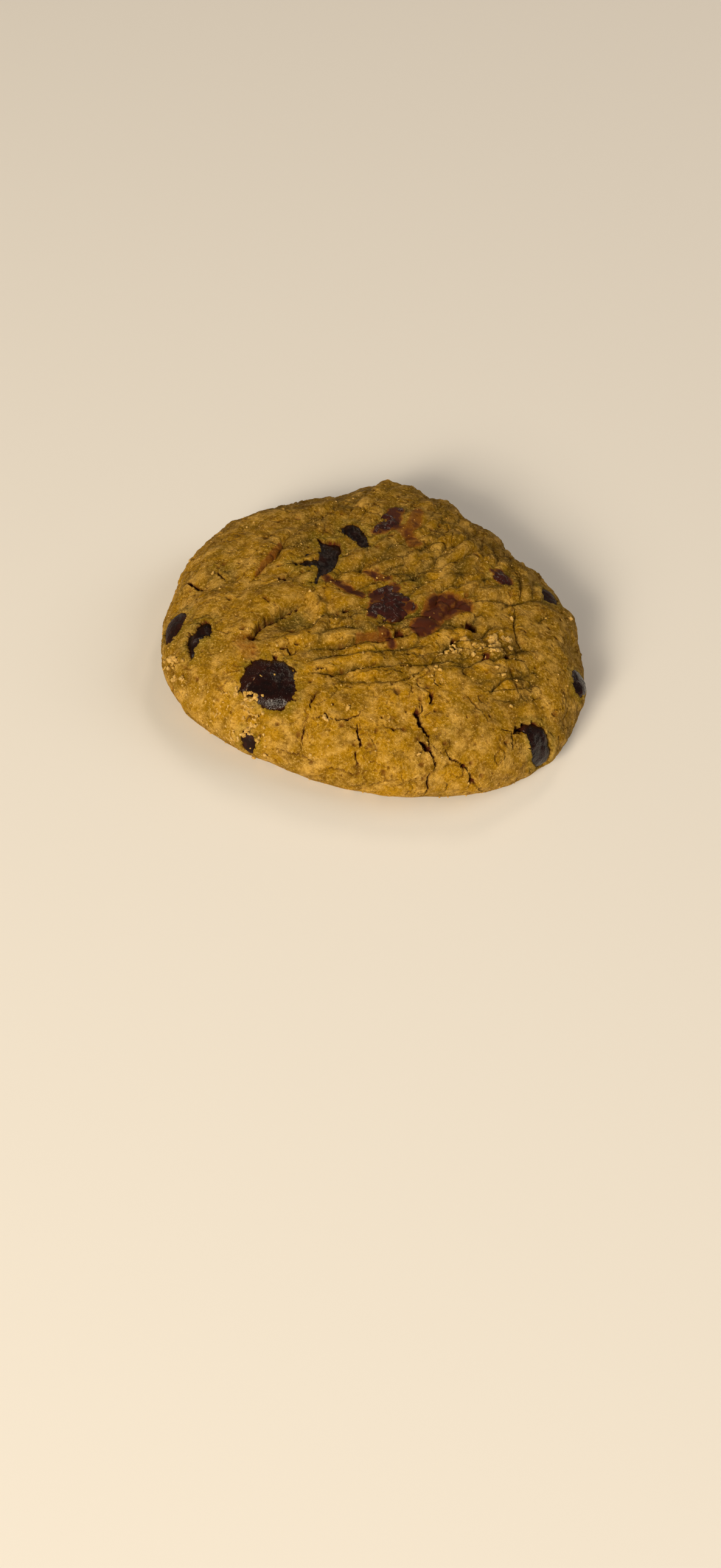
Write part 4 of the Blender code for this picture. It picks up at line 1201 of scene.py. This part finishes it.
def chip_body(node, outline, depth, stand, place, finish, waves):
    """A chip whose face follows what it lies in: level outlines that shrink to a middle above and below."""
    hull = [outline[index] for index in convex_hull_2d([Vector(point) for point in outline])]
    outline = grown(even_outline(hull), CHIP_TUCK)
    middle = outline.mean(axis=0)
    shares = np.linspace(0, CHIP_FACE, CHIP_FACE_RINGS)
    rings = [(share, CHIP_DOME * share**CHIP_FLATNESS) for share in shares]
    rings += [(share, CHIP_DOME + down * depth) for share, down in CHIP_WALL]
    points, edge, split = [], [], []
    for share, down in rings:
        level = middle + (outline - middle) * share
        level = level if share > 0 else level[:1]
        gap, duller = split_chip(level) if node == SPLIT_CHIP else np.zeros((2, len(level)))
        rise = stand - CHIP_SINK + wavy(*level.T, waves, CHIP_WAVE_SEED) - down - SPLIT_SIZE[0] * gap
        points.append(place(*level.T, rise))
        worn = ease((down - CHIP_DOME * CHIP_EDGE[0]) / CHIP_DOME / CHIP_EDGE[1])
        edge.append(np.maximum(duller, worn))
        split.append(gap)
    marks = {"edge": np.concatenate(edge), "split": np.concatenate(split)}
    made = make_mesh(node + "_body", np.vstack(points), ring_faces(len(rings)), marks)
    mended(made, lambda work: bmesh.ops.recalc_face_normals(work, faces=work.faces))
    return finished(made, node.removeprefix("chip_") + "_chip", finish, "dark_chocolate", node)


def sprinkled(numbers, count, least, most):
    """Random places on the crust but not on its chips, as likely in one square millimetre as in another."""
    arc = np.sqrt(numbers.uniform(0, 1, count)) * (ARC_TOTAL - RIM_CLEARANCE)
    angle = numbers.uniform(0, math.tau, count)
    right, back = arc * np.cos(angle), arc * np.sin(angle)
    clear = np.ones(count, bool)
    for _, _, outline in CHIPS.values():
        near, away = outline_distance(right, back, outline, reach=3)
        clear[near] &= away > CHIP_CLEARANCE
    return np.stack([right, back], axis=-1)[clear], numbers.uniform(least, most, count)[clear]


def scattered(numbers):
    """Places, lifts and sizes of the crumbs: some anywhere, more where they fell or are stuck in lumps."""
    places, sizes = [[part] for part in sprinkled(numbers, *LOOSE_CRUMBS)]
    for middle, reach, count, least, most in CRUMB_CLUSTERS:
        places.append(numbers.normal(middle, reach / CLUSTER_SPREAD, (count, 2)))
        sizes.append(numbers.uniform(least, most, count))
    lifts = [np.zeros(sum(map(len, sizes)))]
    fewest, crowded, least, most = LUMP_CRUMBS
    for *middle, radius in CRUMB_LUMPS:
        count = int(fewest + crowded * radius**2)
        spots = numbers.normal(0, radius * LUMP_SPREAD, (count, 2))
        places.append(spots + middle)
        smaller = min(1, LUMP_SHARE + radius * (1 - LUMP_SHARE))
        sizes.append(numbers.uniform(least, most, count) * smaller)
        height = np.sqrt(np.maximum(radius**2 - np.sum(spots**2, axis=1), 0))
        lifts.append(height * numbers.uniform(0, 1, count))
    return np.vstack(places), np.concatenate(lifts), np.concatenate(sizes)


def landed(places, lifts, sizes, ground):
    """Where each crumb comes to rest on the outermost of the pieces, sunk in a little or lying on others."""
    seen = bpy.context.evaluated_depsgraph_get()
    trees = [BVHTree.FromObject(piece, seen) for piece in ground]
    ways = crust_normal(*places.T)
    starts = (crust_point(*places.T) + ways * DROP) * MM
    rest, kept = [], []
    for start, way, lift, size in zip(starts, ways, lifts, sizes):
        hits = [tree.ray_cast(Vector(start), -Vector(way), 3 * DROP * MM) for tree in trees]
        hits = [hit for hit in hits if hit[0] is not None]
        if hits:
            spot, facing, _, _ = min(hits, key=lambda hit: hit[3])
            place = np.array(spot) / MM + np.array(facing) * size * (0.5 - GRAIN_SINK) + way * lift
            if place[2] + size / 2 < CRUMBS_TOP:
                rest.append(place)
                kept.append(size)
    return np.array(rest), np.array(kept)


def strewn_tree(name, sides, boxy):
    """A node tree that sets a small lump on every point, with its own turn and proportions, then uneven."""
    tree = bpy.data.node_groups.new(name, "GeometryNodeTree")
    tree.is_modifier = True
    sockets = {
        label: tree.interface.new_socket(label, in_out="INPUT", socket_type="NodeSocket" + kind).identifier
        for label, kind in (("Points", "Geometry"), ("Unevenness", "Float"), ("Bump size", "Float"),
                            ("Seed", "Int"), ("Finish", "Material"))}
    tree.interface.new_socket("Geometry", in_out="OUTPUT", socket_type="NodeSocketGeometry")
    given = add_node(tree, "NodeGroupInput")
    lump = add_node(tree, "GeometryNodeMeshCube", links={
        "Size": (1, 1, 1), "Vertices X": sides, "Vertices Y": sides, "Vertices Z": sides})["Mesh"]
    place = add_node(tree, "GeometryNodeInputPosition")["Position"]
    ball = add_node(tree, "ShaderNodeVectorMath", {"operation": "NORMALIZE"}, {0: place})["Vector"]
    ball = add_node(tree, "ShaderNodeVectorMath", {"operation": "SCALE"}, {0: ball, "Scale": 0.5})["Vector"]
    share = add_node(tree, "ShaderNodeMix", {"data_type": "VECTOR"}, {0: boxy, 4: ball, 5: place})[1]
    lump = add_node(tree, "GeometryNodeSetPosition", links={"Geometry": lump, "Position": share})["Geometry"]
    turn, shape = (
        add_node(tree, "FunctionNodeRandomValue", {"data_type": "FLOAT_VECTOR"}, {
            "Min": (least,) * 3, "Max": (most,) * 3, "Seed": given["Seed"]})["Value"]
        for least, most in ((0, math.tau), LUMP_STRETCH))
    size = add_node(tree, "GeometryNodeInputNamedAttribute", {"data_type": "FLOAT"}, {
        "Name": "size"})["Attribute"]
    scale = add_node(tree, "ShaderNodeVectorMath", {"operation": "SCALE"}, {
        0: shape, "Scale": size})["Vector"]
    strewn = add_node(tree, "GeometryNodeInstanceOnPoints", links={
        "Points": given["Points"], "Instance": lump, "Rotation": turn, "Scale": scale})["Instances"]
    solid = add_node(tree, "GeometryNodeRealizeInstances", links={"Geometry": strewn})["Geometry"]
    bumps = add_node(tree, "ShaderNodeTexNoise", {"noise_dimensions": "3D"}, {
        "Vector": place, "Scale": given["Bump size"], "Detail": 1})["Color"]
    centred = add_node(tree, "ShaderNodeVectorMath", {"operation": "SUBTRACT"}, {
        0: bumps, 1: (0.5, 0.5, 0.5)})["Vector"]
    shift = add_node(tree, "ShaderNodeVectorMath", {"operation": "SCALE"}, {
        0: centred, "Scale": given["Unevenness"]})["Vector"]
    uneven = add_node(tree, "GeometryNodeSetPosition", links={
        "Geometry": solid, "Offset": shift})["Geometry"]
    dressed = add_node(tree, "GeometryNodeSetMaterial", links={
        "Geometry": uneven, "Material": given["Finish"]})["Geometry"]
    add_node(tree, "NodeGroupOutput", links={"Geometry": dressed})
    return tree, sockets


def strew(name, strewn_about, ground, sides, boxy, unevenness, seed, finish, slot, merged=False):
    """A piece of small lumps that lie on others, each with its flat sides, or merged where they touch."""
    rest, kept = landed(*strewn_about, ground)
    points = make_mesh(name + "_points", rest, [], {"size": kept * MM})
    tree, sockets = strewn_tree(name + "_tree", sides, boxy)
    strewn = points.modifiers.new("strewn lumps", "NODES")
    strewn.node_group = tree
    strewn[sockets["Unevenness"]] = unevenness * MM
    strewn[sockets["Bump size"]] = per_size(kept.mean() * LUMP_BUMPS)
    strewn[sockets["Seed"]] = seed
    strewn[sockets["Finish"]] = finish
    if merged:
        skin = points.modifiers.new("one skin over touching crumbs", "REMESH")
        skin.mode = "VOXEL"
        skin.voxel_size = CRUMB_SKIN * MM
    piece = finished(points, name, finish, slot)
    if not merged:
        piece.data.shade_flat()
    return piece


def crumbs_finish():
    """Baked crumbs: the same dough broken small and dried through, so paler than the crust."""
    made, tree, shader = new_material("dry_dough_crumbs")
    place = add_node(tree, "ShaderNodeTexCoord")["Object"]
    patches = add_node(tree, "ShaderNodeTexNoise", links={"Vector": place, "Scale": per_size(0.9)})["Fac"]
    sand = sandy(tree, place)
    colour = coated(tree, linear("#cca458"), (
        ("#b08838", patches, 0.35, 0.65, 1),
        ("#e4c68a", sand, 0.5, 0.95, 0.7)))
    height = add_node(tree, "ShaderNodeBump", links={
        "Height": sand, "Strength": 1, "Distance": 0.18 * MM})["Normal"]
    feed(tree, shader.inputs, {
        "Base Color": colour, "Normal": height, "Specular IOR Level": 0.25, "Roughness": 0.75})
    return made


def sugar_finish():
    """Granulated sugar, as small crystals stained by the dough: bright glints on a matt crust."""
    made, tree, shader = new_material("granulated_sugar")
    place = add_node(tree, "ShaderNodeTexCoord")["Object"]
    stained = add_node(tree, "ShaderNodeTexNoise", links={"Vector": place, "Scale": per_size(1.1)})["Fac"]
    colour = coated(tree, linear("#b48430"), (("#d8ae60", stained, 0.4, 0.6, 1),))
    feed(tree, shader.inputs, {"Base Color": colour, "Roughness": 0.35, "IOR": 1.54})
    return made


def photo_camera():
    """The camera that took the photograph, as fitted to the cookie's outline."""
    wide, tall = PHOTO_SIZE
    focal = tall / 2 / math.tan(CAMERA_TALL_ANGLE / 2)
    aim = Vector((MIDDLE_PIXEL[0] - wide / 2, tall / 2 - MIDDLE_PIXEL[1], -focal)).normalized()
    away = Vector((0, -math.cos(CAMERA_ELEVATION), math.sin(CAMERA_ELEVATION)))
    across = Vector((1, 0, 0))
    level = Matrix((across, away.cross(across), away)).transposed()
    centred = aim.rotation_difference(Vector((0, 0, -1))).to_matrix()
    turned = level @ Matrix.Rotation(CAMERA_ROLL, 3, "Z") @ centred
    place = (Vector((-MIDDLE[0], -MIDDLE[1], AIM_HEIGHT)) + away * CAMERA_DISTANCE) * MM
    lens = bpy.data.cameras.new("photo_camera")
    lens.lens = lens.sensor_width / 2 / math.tan(CAMERA_TALL_ANGLE / 2)
    lens.clip_start = 0.01
    camera = placed("photo_camera", lens)
    camera.matrix_world = Matrix.Translation(place) @ turned.to_4x4()
    bpy.context.scene.camera = camera


def soft_light(name, azimuth, elevation, distance, size, power, colour, shines):
    """A square studio light aimed at the cookie; azimuth 0 is in front, and 90 to the right."""
    light = bpy.data.lights.new(name, "AREA")
    light.size = size
    light.energy = power
    light.color = linear(colour)[:3]
    azimuth, elevation = math.radians(azimuth), math.radians(elevation)
    level = math.cos(elevation)
    out = Vector((math.sin(azimuth) * level, -math.cos(azimuth) * level, math.sin(elevation)))
    lamp = placed(name, light)
    lamp.visible_glossy = shines
    lamp.location = out * distance
    lamp.rotation_euler = out.to_track_quat("Z", "Y").to_euler()


def stage():
    """A wide pale floor and an even pale surround."""
    corners = [(x * FLOOR_REACH, y * FLOOR_REACH, 0) for x, y in ((-1, -1), (1, -1), (1, 1), (-1, 1))]
    floor = make_mesh("floor", corners, [range(4)])
    floor.data.materials.append(plain_finish("matt_paper", "#e2dfd9", 0.9))
    world = bpy.data.worlds.new("surround")
    world.use_nodes = True
    sky = world.node_tree.nodes["Background"]
    feed(world.node_tree, sky.inputs, {"Color": linear("#e8e0d2"), "Strength": SURROUND_STRENGTH})
    bpy.context.scene.world = world
    for light in LIGHTS:
        soft_light(*light)
    bpy.context.scene.view_settings.view_transform = "Standard"


def main():
    """Makes every piece, then the stage and the camera."""
    ground = [dough_body(baked_dough())]
    chocolate = {look: (dark_chocolate(*make[:6]), make[-1]) for look, make in OVEN_LOOKS.items()}
    for node, (depth, stand, outline) in CHIPS.items():
        look = chocolate[CHIP_LOOKS.get(node, "glossy")]
        ground.append(chip_body(node, outline, depth, stand, on_crust, *look))
    for node, outline in BASE_CHIPS.items():
        look = chocolate["dull"]
        ground.append(chip_body(node, outline, BASE_CHIP_DEPTH, BASE_CHIP_STAND, on_base, *look))
    numbers = np.random.default_rng(SCATTER_SEED)
    strew("crumbs", scattered(numbers), ground, sides=3, boxy=0.3, unevenness=0.7, seed=3,
          finish=crumbs_finish(), slot="baked_dough", merged=True)
    places, sizes = sprinkled(numbers, *SUGAR_GRAINS)
    strew("sugar_grains", (places, np.zeros(len(sizes)), sizes), ground[:1], sides=2, boxy=0.7,
          unevenness=0.05, seed=5, finish=sugar_finish(), slot="baked_dough")
    stage()
    photo_camera()


main()
